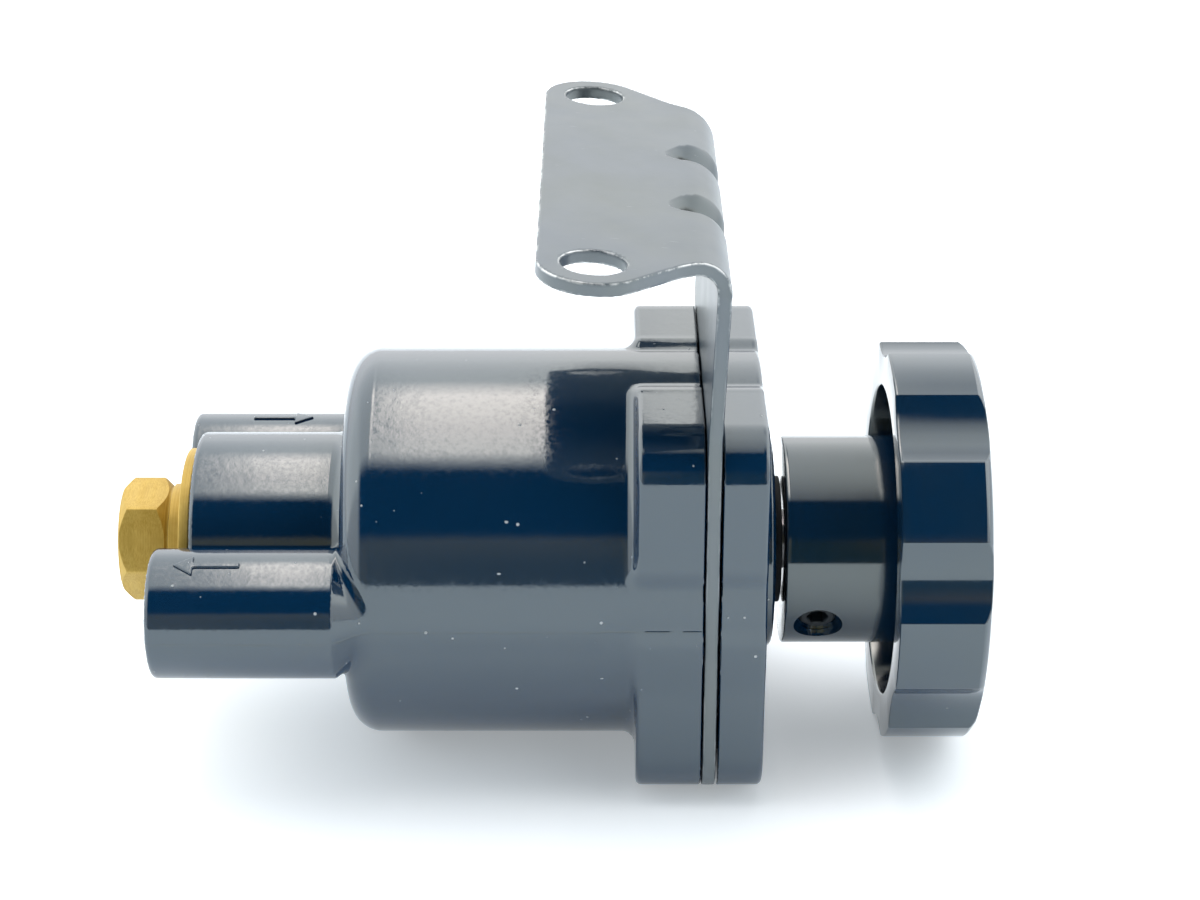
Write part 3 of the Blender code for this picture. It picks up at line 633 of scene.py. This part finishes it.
def make_knob(finish):
    """Hub and hollow-backed rim from one turned blank, with milled scallops."""
    taper_r = RIM_INNER_R + 0.6
    offsets = [k * PERIOD / 2 / 9 for k in range(-9, 9)]
    corner = [CORNER + step for step in (-0.010, -0.005, -0.002, 0.002, 0.005, 0.010)]
    offsets += corner + [-value for value in corner]
    angles = sorted(FIRST_LAND + PERIOD * (k + 0.5) + off
                    for k in range(SCALLOPS) for off in offsets)

    def rim(x, radius, angle):
        if radius < taper_r:
            return x, radius
        share = (radius - taper_r) / (KNOB_R - taper_r)
        here = taper_r + share * (rim_radius(angle) - taper_r)
        if x <= CROWN_FROM_X:
            return x, here
        on_edge = KNOB_R - radius < 1e-6
        return crown_x(here) - on_edge * EDGE_BREAK, here

    profile = rounded_profile([(56.5, 0.0), (56.5, 5.05), (HUB_X, 5.05, 0.2), (HUB_X, HUB_R, 0.45),
                               (HUB_X + 0.8, HUB_R), (52.8, HUB_R), (54.0, HUB_R, 0.8),
                               (54.0, RIM_INNER_R, 0.8), (KNOB_BACK_X, RIM_INNER_R, 0.5),
                               (KNOB_BACK_X, KNOB_R - 0.3)])
    profile += [(KNOB_BACK_X + 0.02, KNOB_R - 0.2), (KNOB_BACK_X + 0.12, KNOB_R - 0.06),
                (KNOB_BACK_X + 0.3, KNOB_R), (KNOB_BACK_X + 0.6, KNOB_R)]
    front = [(58.4, KNOB_R), (58.8, KNOB_R), (58.9, KNOB_R - EDGE_BREAK)]
    front += [(60.0, radius) for radius in (31.3, 30.95, 30.7, 30.2, 29.4, 28.4, 27.2)]
    front += [(60.0, 26.2), (60.0, 25.5)]
    profile += front
    crown_radii = (25.0, 23.7, 23.2, 21.5, 19.2, 18.3, 14.0, 9.0, 4.0, 0.0)
    profile += [(crown_x(radius), radius) for radius in crown_radii]
    knob = lathe("turned_knob", profile, angles, finish, shape=rim)

    cutter_profile = [(2.0, 0.0), (2.0, 3.05)]
    height = 5.2
    while height < HUB_R - 1.3:
        cutter_profile += [(height, 2.95), (height + THREAD_PITCH * 0.5, 3.25)]
        height += THREAD_PITCH
    cutter_profile += [(HUB_R - 1.2, 3.1), (HUB_R - 0.5, 3.7), (HUB_R + 1.5, 4.3),
                       (HUB_R + 1.5, 0.0)]
    cutter = lathe("hole_cutter", cutter_profile, even_angles(40), finish)
    to_origin(cutter)
    cutter.matrix_world = set_screw_place()
    bpy.context.view_layer.update()
    hole = knob.modifiers.new("set_screw_hole", "BOOLEAN")
    hole.object = cutter
    hole.solver = "EXACT"
    cut_mesh = bpy.data.meshes.new_from_object(
        knob.evaluated_get(bpy.context.evaluated_depsgraph_get()))
    knob.modifiers.clear()
    knob.data = cut_mesh
    bpy.data.objects.remove(cutter)
    keep_edges(knob, 24.0)
    dress(knob, "knob_group", "knob_anodised", "knob")


def make_neck_washer(finish):
    profile = rounded_profile([(28.5, 5.05), (28.5, 10.15, 0.25), (29.6, 10.15, 0.25),
                               (29.6, 5.05)])
    washer = lathe("hub_washer", profile, even_angles(72), finish, closed=True)
    keep_edges(washer)
    dress(washer, "knob_group", "fibre", "neck_washer")


# ---- small parts
def hex_socket(across):
    """Shape for lathe: rings marked HEX_MARK turn into a hexagon."""
    def shape(x, radius, angle):
        if radius < HEX_MARK:
            return x, radius
        off = angle % (math.pi / 3) - math.pi / 6
        return x, across / 2 / math.cos(off)
    return shape


def make_cover_screws(finish):
    """Countersunk socket screws with a rounded head edge and a hexagon socket."""
    corners = [(8.0, 0.0), (8.0, 2.2, 0.0), (8.5, 2.7, 0.0), (22.3, 2.7, 0.0), (25.4, 5.8, 0.25),
               (25.8, 5.8, 0.25), (25.8, 2.6)]
    profile = rounded_profile(corners)
    profile += [(25.7, 2.4), (25.5, HEX_MARK), (22.9, HEX_MARK), (22.3, 0.0)]
    number = 0
    for y in (-SCREW_PITCH_HALF, SCREW_PITCH_HALF):
        for z in (-SCREW_PITCH_HALF, SCREW_PITCH_HALF):
            number += 1
            screw = lathe(f"socket_screw_{number}", profile, even_angles(60), finish,
                          shape=hex_socket(4.0), y=y, z=z)
            keep_edges(screw)
            dress(screw, "housing", "black_steel", f"cover_screw_{number}")


def make_set_screw(finish):
    """Set screw with a thread, a cone point and a hexagon socket."""
    top = 15.1
    profile = [(4.45, 0.0), (4.45, 1.8), (5.4, 2.75)]
    height = 5.6
    while height < top - 0.7:
        profile += [(height, 2.88), (height + THREAD_PITCH / 2, 2.55)]
        height += THREAD_PITCH
    profile += [(top - 0.3, 2.85), (top, 2.5), (top, 1.75), (top - 0.15, HEX_MARK),
                (top - 2.4, HEX_MARK), (top - 2.9, 0.0)]
    screw = lathe("hub_set_screw", profile, even_angles(48), finish, shape=hex_socket(3.0))
    to_origin(screw)
    screw.data.transform(set_screw_place())
    keep_edges(screw)
    dress(screw, "knob_group", "black_steel", "knob_set_screw")


def make_port_threads(finish):
    """Tapered pipe thread in each port, as a thin lining of the bore."""
    pitch, per_turn, per_pitch, depth = 1.41, 48, 8, 0.42
    start, length = PORT_END_X + 0.5, 14.5
    narrowing = 32  # pipe threads narrow by one part in 32 of their length
    rows = per_pitch * int(length / pitch)
    for name, y in (("port_thread_near", -PORT_Y), ("port_thread_far", PORT_Y)):
        points, faces = [], []
        for row in range(rows + 1):
            along = length * row / rows
            for step in range(per_turn):
                turn = step / per_turn
                wave = abs(((along / pitch - turn) % 1.0) - 0.5) * 2.0
                fade = min(1.0, row / per_pitch, (rows - row) / per_pitch)
                radius = PORT_BORE_R - 0.08 - along / narrowing - depth * wave * fade
                angle = 2 * math.pi * turn
                points.append((start + along, y - radius * math.cos(angle),
                               radius * math.sin(angle)))
        for row in (rows, 0):
            for step in range(per_turn):
                angle = 2 * math.pi * step / per_turn
                radius = PORT_BORE_R + 0.25
                points.append((start + length * row / rows, y - radius * math.cos(angle),
                               radius * math.sin(angle)))
        bands = rows + 3
        for row in range(bands):
            for step in range(per_turn):
                after = (step + 1) % per_turn
                next_row = (row + 1) % bands
                faces.append((row * per_turn + step, row * per_turn + after,
                              next_row * per_turn + after, next_row * per_turn + step))
        thread = new_piece(name, points, faces, finish, None, AXIS_Z)
        keep_edges(thread, 50.0)
        dress(thread, "housing", "body_enamel")


def make_flow_arrows(finish):
    """Raised arrows cast on top of the ports: out on the near one, in on the far one."""
    def arrow(u, v, n):
        shaft = rounded_box(u - 1.2, v, 3.6, 0.42, 0.1)
        head = np.maximum((-u - 5.2 + np.abs(v) * 1.5) / 1.8, u + 2.2)
        flat = join(shaft, head, 0.3)
        return meet(flat, np.abs(n) - 0.32, 0.16)

    lines = (grid_line((-6.0, 5.6, 0.2)), grid_line((-2.6, 2.6, 0.18)),
             grid_line((-0.6, 0.0, 0.3), (0.0, 0.5, 0.1)))
    flat, faces = surface_net(arrow, lines)
    flat, _ = settle(arrow, flat, 0.12)
    for name, side, middle, tilt, way in (("arrow_out", -1.0, -58.0, 74.0, 1.0),
                                          ("arrow_in", 1.0, -52.5, 90.0, -1.0)):
        radius = PORT_R + flat[:, 2]
        angle = math.radians(tilt) + way * flat[:, 1] / PORT_R
        points = np.stack([middle + way * flat[:, 0], side * PORT_Y - radius * np.cos(angle),
                           radius * np.sin(angle)], 1)
        piece = new_piece(name, points, faces, finish, None, AXIS_Z)
        keep_edges(piece, 60.0)
        dress(piece, "housing", "body_enamel")


def make_spring(name, node, finish, x_start, x_end, radius, wire_r, turns):
    """Compression spring with closed end turns."""
    per_turn, sides = 40, 10
    steps = int(turns * per_turn)
    closed = 0.85 * per_turn
    rises = [0.35 if min(step, steps - 1 - step) < closed else 1.0 for step in range(steps)]
    heights = np.concatenate([[0.0], np.cumsum(rises)]) / sum(rises)
    points, faces = [], []
    for step, height in enumerate(heights):
        angle = 2 * math.pi * step / per_turn
        x = x_start + wire_r + (x_end - x_start - 2 * wire_r) * height
        for side in range(sides):
            turn = 2 * math.pi * side / sides
            reach = radius + wire_r * math.cos(turn)
            points.append((x + wire_r * math.sin(turn), reach * math.cos(angle),
                           reach * math.sin(angle)))
    for row in range(steps):
        for side in range(sides):
            after = (side + 1) % sides
            faces.append((row * sides + side, (row + 1) * sides + side,
                          (row + 1) * sides + after, row * sides + after))
    faces.append(list(range(sides)))
    faces.append([steps * sides + side for side in range(sides)][::-1])
    spring = new_piece(name, points, faces, finish, None, AXIS_Z)
    keep_edges(spring, 60.0)
    dress(spring, "housing", "steel", node)
    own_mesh(spring)


# ---- materials
class Graph:
    """Short calls that add nodes to a material's or a world's tree."""

    def __init__(self, tree):
        self.tree = tree

    def add(self, kind, inputs=None, **settings):
        node = self.tree.nodes.new(kind)
        for name, value in settings.items():
            setattr(node, name, value)
        for name, value in (inputs or {}).items():
            self.put(node.inputs[name], value)
        return node

    def put(self, socket, value):
        if isinstance(value, bpy.types.NodeSocket):
            self.tree.links.new(value, socket)
        else:
            socket.default_value = value

    def math(self, operation, *values):
        node = self.add("ShaderNodeMath", operation=operation)
        for socket, value in zip(node.inputs, values):
            self.put(socket, value)
        return node.outputs[0]

    def times(self, first, second):
        return self.math("MULTIPLY", first, second)

    def ramp(self, value, low, high, out_low=0.0, out_high=1.0):
        node = self.add("ShaderNodeMapRange", {"Value": value, "From Min": low, "From Max": high,
                                               "To Min": out_low, "To Max": out_high},
                        interpolation_type="LINEAR")
        return node.outputs["Result"]

    def mix(self, share, first, second):
        node = self.add("ShaderNodeMix", data_type="RGBA")
        self.put(node.inputs[0], share)
        self.put(node.inputs[6], first)
        self.put(node.inputs[7], second)
        return node.outputs[2]

    def place(self, scale=(1.0, 1.0, 1.0)):
        """Object coordinates in metres, stretched by `scale`."""
        coordinates = self.add("ShaderNodeTexCoord").outputs["Object"]
        return self.add("ShaderNodeMapping", {"Vector": coordinates, "Scale": scale}).outputs[0]

    def noise(self, vector, scale, detail=2.0, roughness=0.5):
        node = self.add("ShaderNodeTexNoise", {"Vector": vector, "Scale": scale, "Detail": detail,
                                               "Roughness": roughness})
        return node.outputs["Fac"]

    def specks(self, vector, scale, size, share):
        """1 inside small scattered spots, 0 elsewhere."""
        cell = self.add("ShaderNodeTexVoronoi", {"Vector": vector, "Scale": scale})
        chance = self.add("ShaderNodeSeparateColor", {"Color": cell.outputs["Color"]})
        reach = self.times(chance.outputs["Green"], size)
        near = self.math("SUBTRACT", reach, cell.outputs["Distance"])
        chosen = self.math("LESS_THAN", chance.outputs["Red"], share)
        return self.times(self.ramp(near, 0.0, size * 0.3), chosen)

    def turned(self, scale_x, scale_r):
        """Coordinates (x, radius) about the valve axis, so that a noise makes turning marks."""
        coordinates = self.add("ShaderNodeTexCoord").outputs["Object"]
        parts = self.add("ShaderNodeSeparateXYZ", {"Vector": coordinates}).outputs
        height = self.math("SUBTRACT", parts[2], AXIS_Z * MM)
        square = self.math("ADD", self.math("POWER", parts[1], 2.0),
                           self.math("POWER", height, 2.0))
        radius = self.math("SQRT", square)
        return self.add("ShaderNodeCombineXYZ", {
            "X": self.times(parts[0], scale_x),
            "Y": self.times(radius, scale_r)}).outputs[0]

    def bump(self, height, depth, before=None):
        node = self.add("ShaderNodeBump", {"Height": height, "Distance": depth, "Strength": 1.0})
        if before is not None:
            self.put(node.inputs["Normal"], before)
        return node.outputs["Normal"]


def start_material(name):
    material = bpy.data.materials.new(name)
    material.use_nodes = True
    return material, Graph(material.node_tree), material.node_tree.nodes["Principled BSDF"]


def wire(graph, shader, colour, roughness, normal):
    for name, value in (("Base Color", colour), ("Roughness", roughness), ("Normal", normal)):
        graph.put(shader.inputs[name], value)


INK = (0.0010, 0.0175, 0.0500, 1.0)  # the blue-black that every dark finish shares
DUST = (0.40, 0.43, 0.45, 1.0)
GLOSS_IOR = 1.9
GLOSS_TINT = (0.92, 1.0, 0.95, 1.0)


def make_glossy(shader):
    shader.inputs["IOR"].default_value = GLOSS_IOR
    shader.inputs["Specular Tint"].default_value = GLOSS_TINT


def enamel_material(name, parting):
    """Thick glossy black enamel with orange peel, dust and, if asked, a die parting line."""
    material, graph, shader = start_material(name)
    place = graph.place()
    long_way = graph.place((1.0, 4.0, 1.6))
    dust = graph.math("MAXIMUM", graph.specks(place, 420.0, 0.13, 0.6),
                      graph.specks(long_way, 170.0, 0.06, 0.7))
    grime = graph.ramp(graph.noise(place, 55.0, 4.0, 0.6), 0.45, 0.75)
    tint = graph.mix(grime, INK, (0.0024, 0.0190, 0.0520, 1.0))
    colour = graph.mix(graph.times(dust, 0.8), tint, DUST)
    sheen = graph.ramp(graph.noise(place, 1300.0, 4.0, 0.7), 0.4, 0.7, 0.05, 0.17)
    roughness = graph.math("ADD", sheen, graph.times(dust, 0.5))
    grain = graph.bump(graph.noise(place, 2600.0, 2.0, 0.6), 0.0000025)
    peel = graph.bump(graph.noise(place, 480.0, 3.0, 0.5), 0.000012, grain)
    waves = graph.bump(graph.noise(graph.place((1.0, 0.7, 0.7)), 70.0, 1.0), 0.00002, peel)
    relief = graph.bump(dust, 0.00004, waves)
    if parting:
        coordinates = graph.add("ShaderNodeTexCoord").outputs["Object"]
        height = graph.add("ShaderNodeSeparateXYZ", {"Vector": coordinates}).outputs["Z"]
        off = graph.math("ABSOLUTE", graph.math("SUBTRACT", height, AXIS_Z * MM))
        broken = graph.ramp(graph.noise(place, 350.0, 3.0, 0.6), 0.35, 0.6, 0.3, 1.0)
        line = graph.times(graph.ramp(off, 0.00022, 0.00004), broken)
        relief = graph.bump(line, 0.00003, relief)
        colour = graph.mix(graph.times(line, 0.5), colour, (0.0, 0.002, 0.004, 1.0))
    make_glossy(shader)
    wire(graph, shader, colour, roughness, relief)
    return material


def sheet_material():
    """Satin black finish on sheet steel, thin along its edges and lightly scratched, with painted
    shade in the darts' valleys.
    """
    material, graph, shader = start_material("black_sheet")
    place = graph.place()
    edge = graph.add("ShaderNodeAttribute", attribute_name="wear").outputs["Fac"]
    corner = graph.times(graph.times(edge, graph.math("SUBTRACT", 1.0, edge)), 4.0)
    rubbed = graph.ramp(graph.noise(place, 240.0, 4.0, 0.7), 0.44, 0.58)
    clamped = graph.add("ShaderNodeAttribute", attribute_name="clamped").outputs["Fac"]
    # this attribute carries the painted shade in the darts' valleys
    crease_shade = graph.add("ShaderNodeAttribute", attribute_name="crease_shade").outputs["Fac"]
    free = graph.ramp(clamped, 0.0, 1.0, 1.0, 0.25)
    worn = graph.times(graph.times(graph.ramp(corner, 0.3, 0.9), rubbed), free)
    lines = graph.noise(graph.place((160.0, 1500.0, 1500.0)), 1.0, 3.0, 0.7)
    scratch = graph.ramp(lines, 0.70, 0.78)
    shine = graph.math("MAXIMUM", graph.times(worn, 0.7), graph.times(scratch, 0.2))
    shine = graph.math("MAXIMUM", shine, graph.times(edge, 0.08))
    dust = graph.specks(place, 160.0, 0.06, 0.08)
    shade = graph.mix(graph.ramp(graph.noise(place, 40.0, 4.0, 0.6), 0.3, 0.7), INK,
                      (0.0140, 0.0270, 0.0340, 1.0))
    colour = graph.mix(shine, shade, (0.80, 0.82, 0.82, 1.0))
    dusty = graph.mix(graph.times(dust, 0.5), colour, DUST)
    # painted shade: the darts' valleys are painted black and made fully rough
    crease_shaded = graph.mix(crease_shade, dusty, (0.0, 0.0, 0.0, 1.0))
    graph.put(shader.inputs["Metallic"], graph.times(shine, 0.9))
    make_glossy(shader)
    satin = graph.ramp(graph.noise(place, 90.0, 4.0, 0.6), 0.3, 0.7, 0.30, 0.36)
    roughness = graph.math("MAXIMUM", satin, crease_shade)
    grain = graph.bump(graph.noise(place, 2400.0, 3.0, 0.6), 0.000004)
    scored = graph.bump(graph.math("SUBTRACT", 1.0, scratch), 0.00001, grain)
    wire(graph, shader, crease_shaded, roughness, scored)
    return material


def turned_material(name, dark, light, low, high, metallic, depth, dusty=0.0, glossy=False):
    """Turned metal: rings of fine marks about the valve axis, with a little dirt."""
    material, graph, shader = start_material(name)
    rings = graph.noise(graph.turned(5200.0, 5200.0), 1.0, 3.0, 0.7)
    broad = graph.noise(graph.turned(700.0, 700.0), 1.0, 2.0, 0.5)
    place = graph.place()
    dirt = graph.noise(place, 130.0, 5.0, 0.65)
    dust = graph.specks(place, 220.0, 0.07, dusty)
    tone = graph.mix(graph.ramp(graph.math("ADD", rings, dirt), 0.7, 1.3), dark, light)
    colour = graph.mix(graph.times(dust, 0.7), tone, DUST)
    shader.inputs["Metallic"].default_value = metallic
    if glossy:
        make_glossy(shader)
    uneven = graph.math("ADD", broad, graph.times(dirt, 0.6))
    rough = graph.ramp(uneven, 0.5, 1.1, low, high)
    roughness = graph.math("ADD", rough, graph.times(dust, 0.3))
    relief = graph.bump(broad, depth * 2, graph.bump(rings, depth))
    wire(graph, shader, colour, roughness, relief)
    return material


def soft_material(name, colour, lighter, roughness, scale, depth):
    """Rubber or fibre: a fine grain in colour, roughness and relief."""
    material, graph, shader = start_material(name)
    grain = graph.noise(graph.place(), scale, 4.0, 0.65)
    tone = graph.mix(graph.ramp(grain, 0.3, 0.7), colour, lighter)
    rough = graph.ramp(grain, 0.3, 0.7, roughness, roughness + 0.12)
    wire(graph, shader, tone, rough, graph.bump(grain, depth))
    return material


cast_enamel = enamel_material("cast_enamel", True)
enamel = enamel_material("black_enamel", False)
sheet = sheet_material()
anodised = turned_material("black_anodised", INK, (0.0050, 0.0190, 0.0420, 1.0), 0.05, 0.12, 0.0,
                           0.0000006, dusty=0.14, glossy=True)
brass = turned_material("machined_brass", (0.36, 0.23, 0.03, 1.0), (0.58, 0.41, 0.10, 1.0),
                        0.40, 0.60, 0.45, 0.000002)
bronze = turned_material("bearing_bronze", (0.40, 0.22, 0.09, 1.0), (0.62, 0.38, 0.18, 1.0),
                         0.25, 0.45, 1.0, 0.000002)
steel = turned_material("bright_steel", (0.42, 0.42, 0.43, 1.0), (0.62, 0.62, 0.64, 1.0),
                        0.18, 0.34, 1.0, 0.000002)
black_steel = turned_material("black_oxide_steel", (0.004, 0.008, 0.012, 1.0),
                              (0.012, 0.020, 0.028, 1.0), 0.50, 0.65, 0.0, 0.000002)
rubber = soft_material("nitrile_rubber", (0.008, 0.008, 0.009, 1.0), (0.020, 0.020, 0.021, 1.0),
                       0.55, 900.0, 0.00001)
fibre = soft_material("fibre_sheet", (0.008, 0.012, 0.016, 1.0), (0.022, 0.026, 0.030, 1.0),
                      0.65, 1200.0, 0.00002)

NODE_FINISHES = (
    (fibre, "cover_gasket"),
    (rubber, "plug_o_ring poppet_seal seat_o_ring piston_seal stem_o_ring"),
    (brass, "poppet valve_seat spring_nut"),
    (bronze, "piston stem_bushing thrust_washer"),
    (steel, "guide_pin_near guide_pin_far stem"),
    (black_steel, "retaining_ring"),
)
for finish, names in NODE_FINISHES:
    for name in names.split():
        NODES[name].data.materials.clear()
        NODES[name].data.materials.append(finish)

make_castings(cast_enamel, enamel)
make_bracket(sheet)
make_plug(brass)
make_knob(anodised)
make_neck_washer(fibre)
make_cover_screws(black_steel)
make_set_screw(black_steel)
make_port_threads(enamel)
make_flow_arrows(enamel)
make_spring("range_coil", "range_spring", steel, -12.7, 5.2, 11.9, 1.6, 4.0)
make_spring("poppet_coil", "poppet_spring", steel, -60.1, -50.9, 4.7, 0.45, 5.5)


# ---- floor, light, camera
LIGHT = 8.0  # ramp colours stop at 1, so lights are kept divided by this
FLOOR_GLOW = 0.28
DARK_ROOM = (0.01, 0.04, 0.08)
WARM_FRONT = (0.36, 0.33, 0.19)
DIM_FRONT = (0.20, 0.20, 0.10)
CAMERA_PITCH, CAMERA_LENS = math.radians(25.22), 78.05
CAMERA_PLACE = (0.0009, -0.3735, 0.1294)


def make_floor():
    mesh = bpy.data.meshes.new("floor")
    bm = bmesh.new()
    bmesh.ops.create_grid(bm, x_segments=2, y_segments=2, size=6.0)
    bm.to_mesh(mesh)
    bm.free()
    material, _, shader = start_material("pale_floor")
    shader.inputs["Base Color"].default_value = (0.86, 0.92, 0.96, 1.0)
    shader.inputs["Roughness"].default_value = 0.9
    shader.inputs["Emission Color"].default_value = (0.94, 0.98, 1.0, 1.0)
    shader.inputs["Emission Strength"].default_value = FLOOR_GLOW
    mesh.materials.append(material)
    floor = bpy.data.objects.new("floor", mesh)
    floor.location.z = cad_box[0].z - 0.0002
    bpy.context.scene.collection.objects.link(floor)


def make_world():
    """A studio: pale wall behind, softboxes overhead, darker room in front."""
    world = bpy.data.worlds.new("studio")
    world.use_nodes = True
    graph = Graph(world.node_tree)
    direction = graph.add("ShaderNodeTexCoord").outputs["Generated"]
    x, y, z = graph.add("ShaderNodeSeparateXYZ", {"Vector": direction}).outputs[:3]
    rise = graph.math("ARCTAN2", z, y)

    def column(stops):
        """Light against the angle from the back horizon, over the top and to the front."""
        place = graph.ramp(rise, -math.pi, math.pi)
        node = graph.add("ShaderNodeValToRGB", {"Fac": place})
        elements = node.color_ramp.elements
        for number, (degrees, light) in enumerate(stops):
            spot = 0.5 + degrees / 360.0
            element = elements[number] if number < 2 else elements.new(spot)
            element.position = spot
            element.color = tuple(part / LIGHT for part in light) + (1.0,)
        return node.outputs["Color"]

    def grey(level):
        return level, level, level

    low_wall = [(-172, grey(0.2)), (-165, grey(1.2)), (0, grey(1.5)), (10, grey(1.9)),
                (19, grey(2.25))]
    front = [(113, DARK_ROOM), (150, DARK_ROOM)]
    low_front = [(154, WARM_FRONT), (168, DIM_FRONT)]
    window = column(low_wall + [(36, grey(2.45)), (46, grey(2.7)), (60, (7.2, 6.4, 6.2)),
                                (72, (7.0, 6.2, 6.0)), (86, (6.1, 5.4, 5.3)),
                                (101, (5.6, 5.1, 5.0)), (108, grey(1.6))] + front + low_front)
    far_left = column(low_wall + [(46, grey(2.2)), (101, grey(2.1))] + front + [(156, WARM_FRONT)])
    gap = column(low_wall + [(28, grey(1.6)), (36, grey(0.7)), (44, DARK_ROOM)] + front
                 + low_front)
    right = column(low_wall + [(40, grey(2.1)), (74, grey(1.9)), (88, grey(1.6)), (99, grey(1.25)),
                               (108, grey(0.8))] + front + [(160, (0.05, 0.08, 0.04))])
    far_right = column(low_wall + [(32, grey(2.2)), (42, grey(1.8)), (54, grey(1.5)),
                                   (68, grey(2.0)), (84, grey(1.8)), (97, grey(1.1)),
                                   (104, grey(0.35)), (108, DARK_ROOM), (150, DARK_ROOM),
                                   (158, (0.30, 0.22, 0.08)), (172, (0.10, 0.12, 0.06))])
    side_room = column(low_wall + [(40, grey(2.6)), (108, grey(2.6)), (125, grey(1.7)),
                                   (172, grey(1.4))])
    # the columns from left to right, each with the stretch of x over which it takes over
    columns = ((-0.7, -0.55, far_left), (-0.15, -0.125, window), (-0.1035, -0.1, far_left),
               (-0.0825, -0.08, window), (-0.009, -0.0065, gap), (0.012, 0.024, right),
               (0.105, 0.115, far_right), (0.4, 0.55, side_room))
    light = side_room
    for start, end, next_light in columns:
        light = graph.mix(graph.ramp(x, start, end), light, next_light)
    background = world.node_tree.nodes["Background"].inputs
    graph.put(background["Color"], light)
    background["Strength"].default_value = LIGHT
    bpy.context.scene.world = world


def make_camera():
    data = bpy.data.cameras.new("camera")
    data.lens = CAMERA_LENS
    data.sensor_width = 36.0
    camera = bpy.data.objects.new("camera", data)
    camera.location = CAMERA_PLACE
    camera.rotation_euler = (math.pi / 2 - CAMERA_PITCH, 0.0, 0.0)
    bpy.context.scene.collection.objects.link(camera)
    bpy.context.scene.camera = camera


make_floor()
make_world()
make_camera()
bpy.context.scene.view_settings.view_transform = "Standard"

bpy.context.view_layer.update()
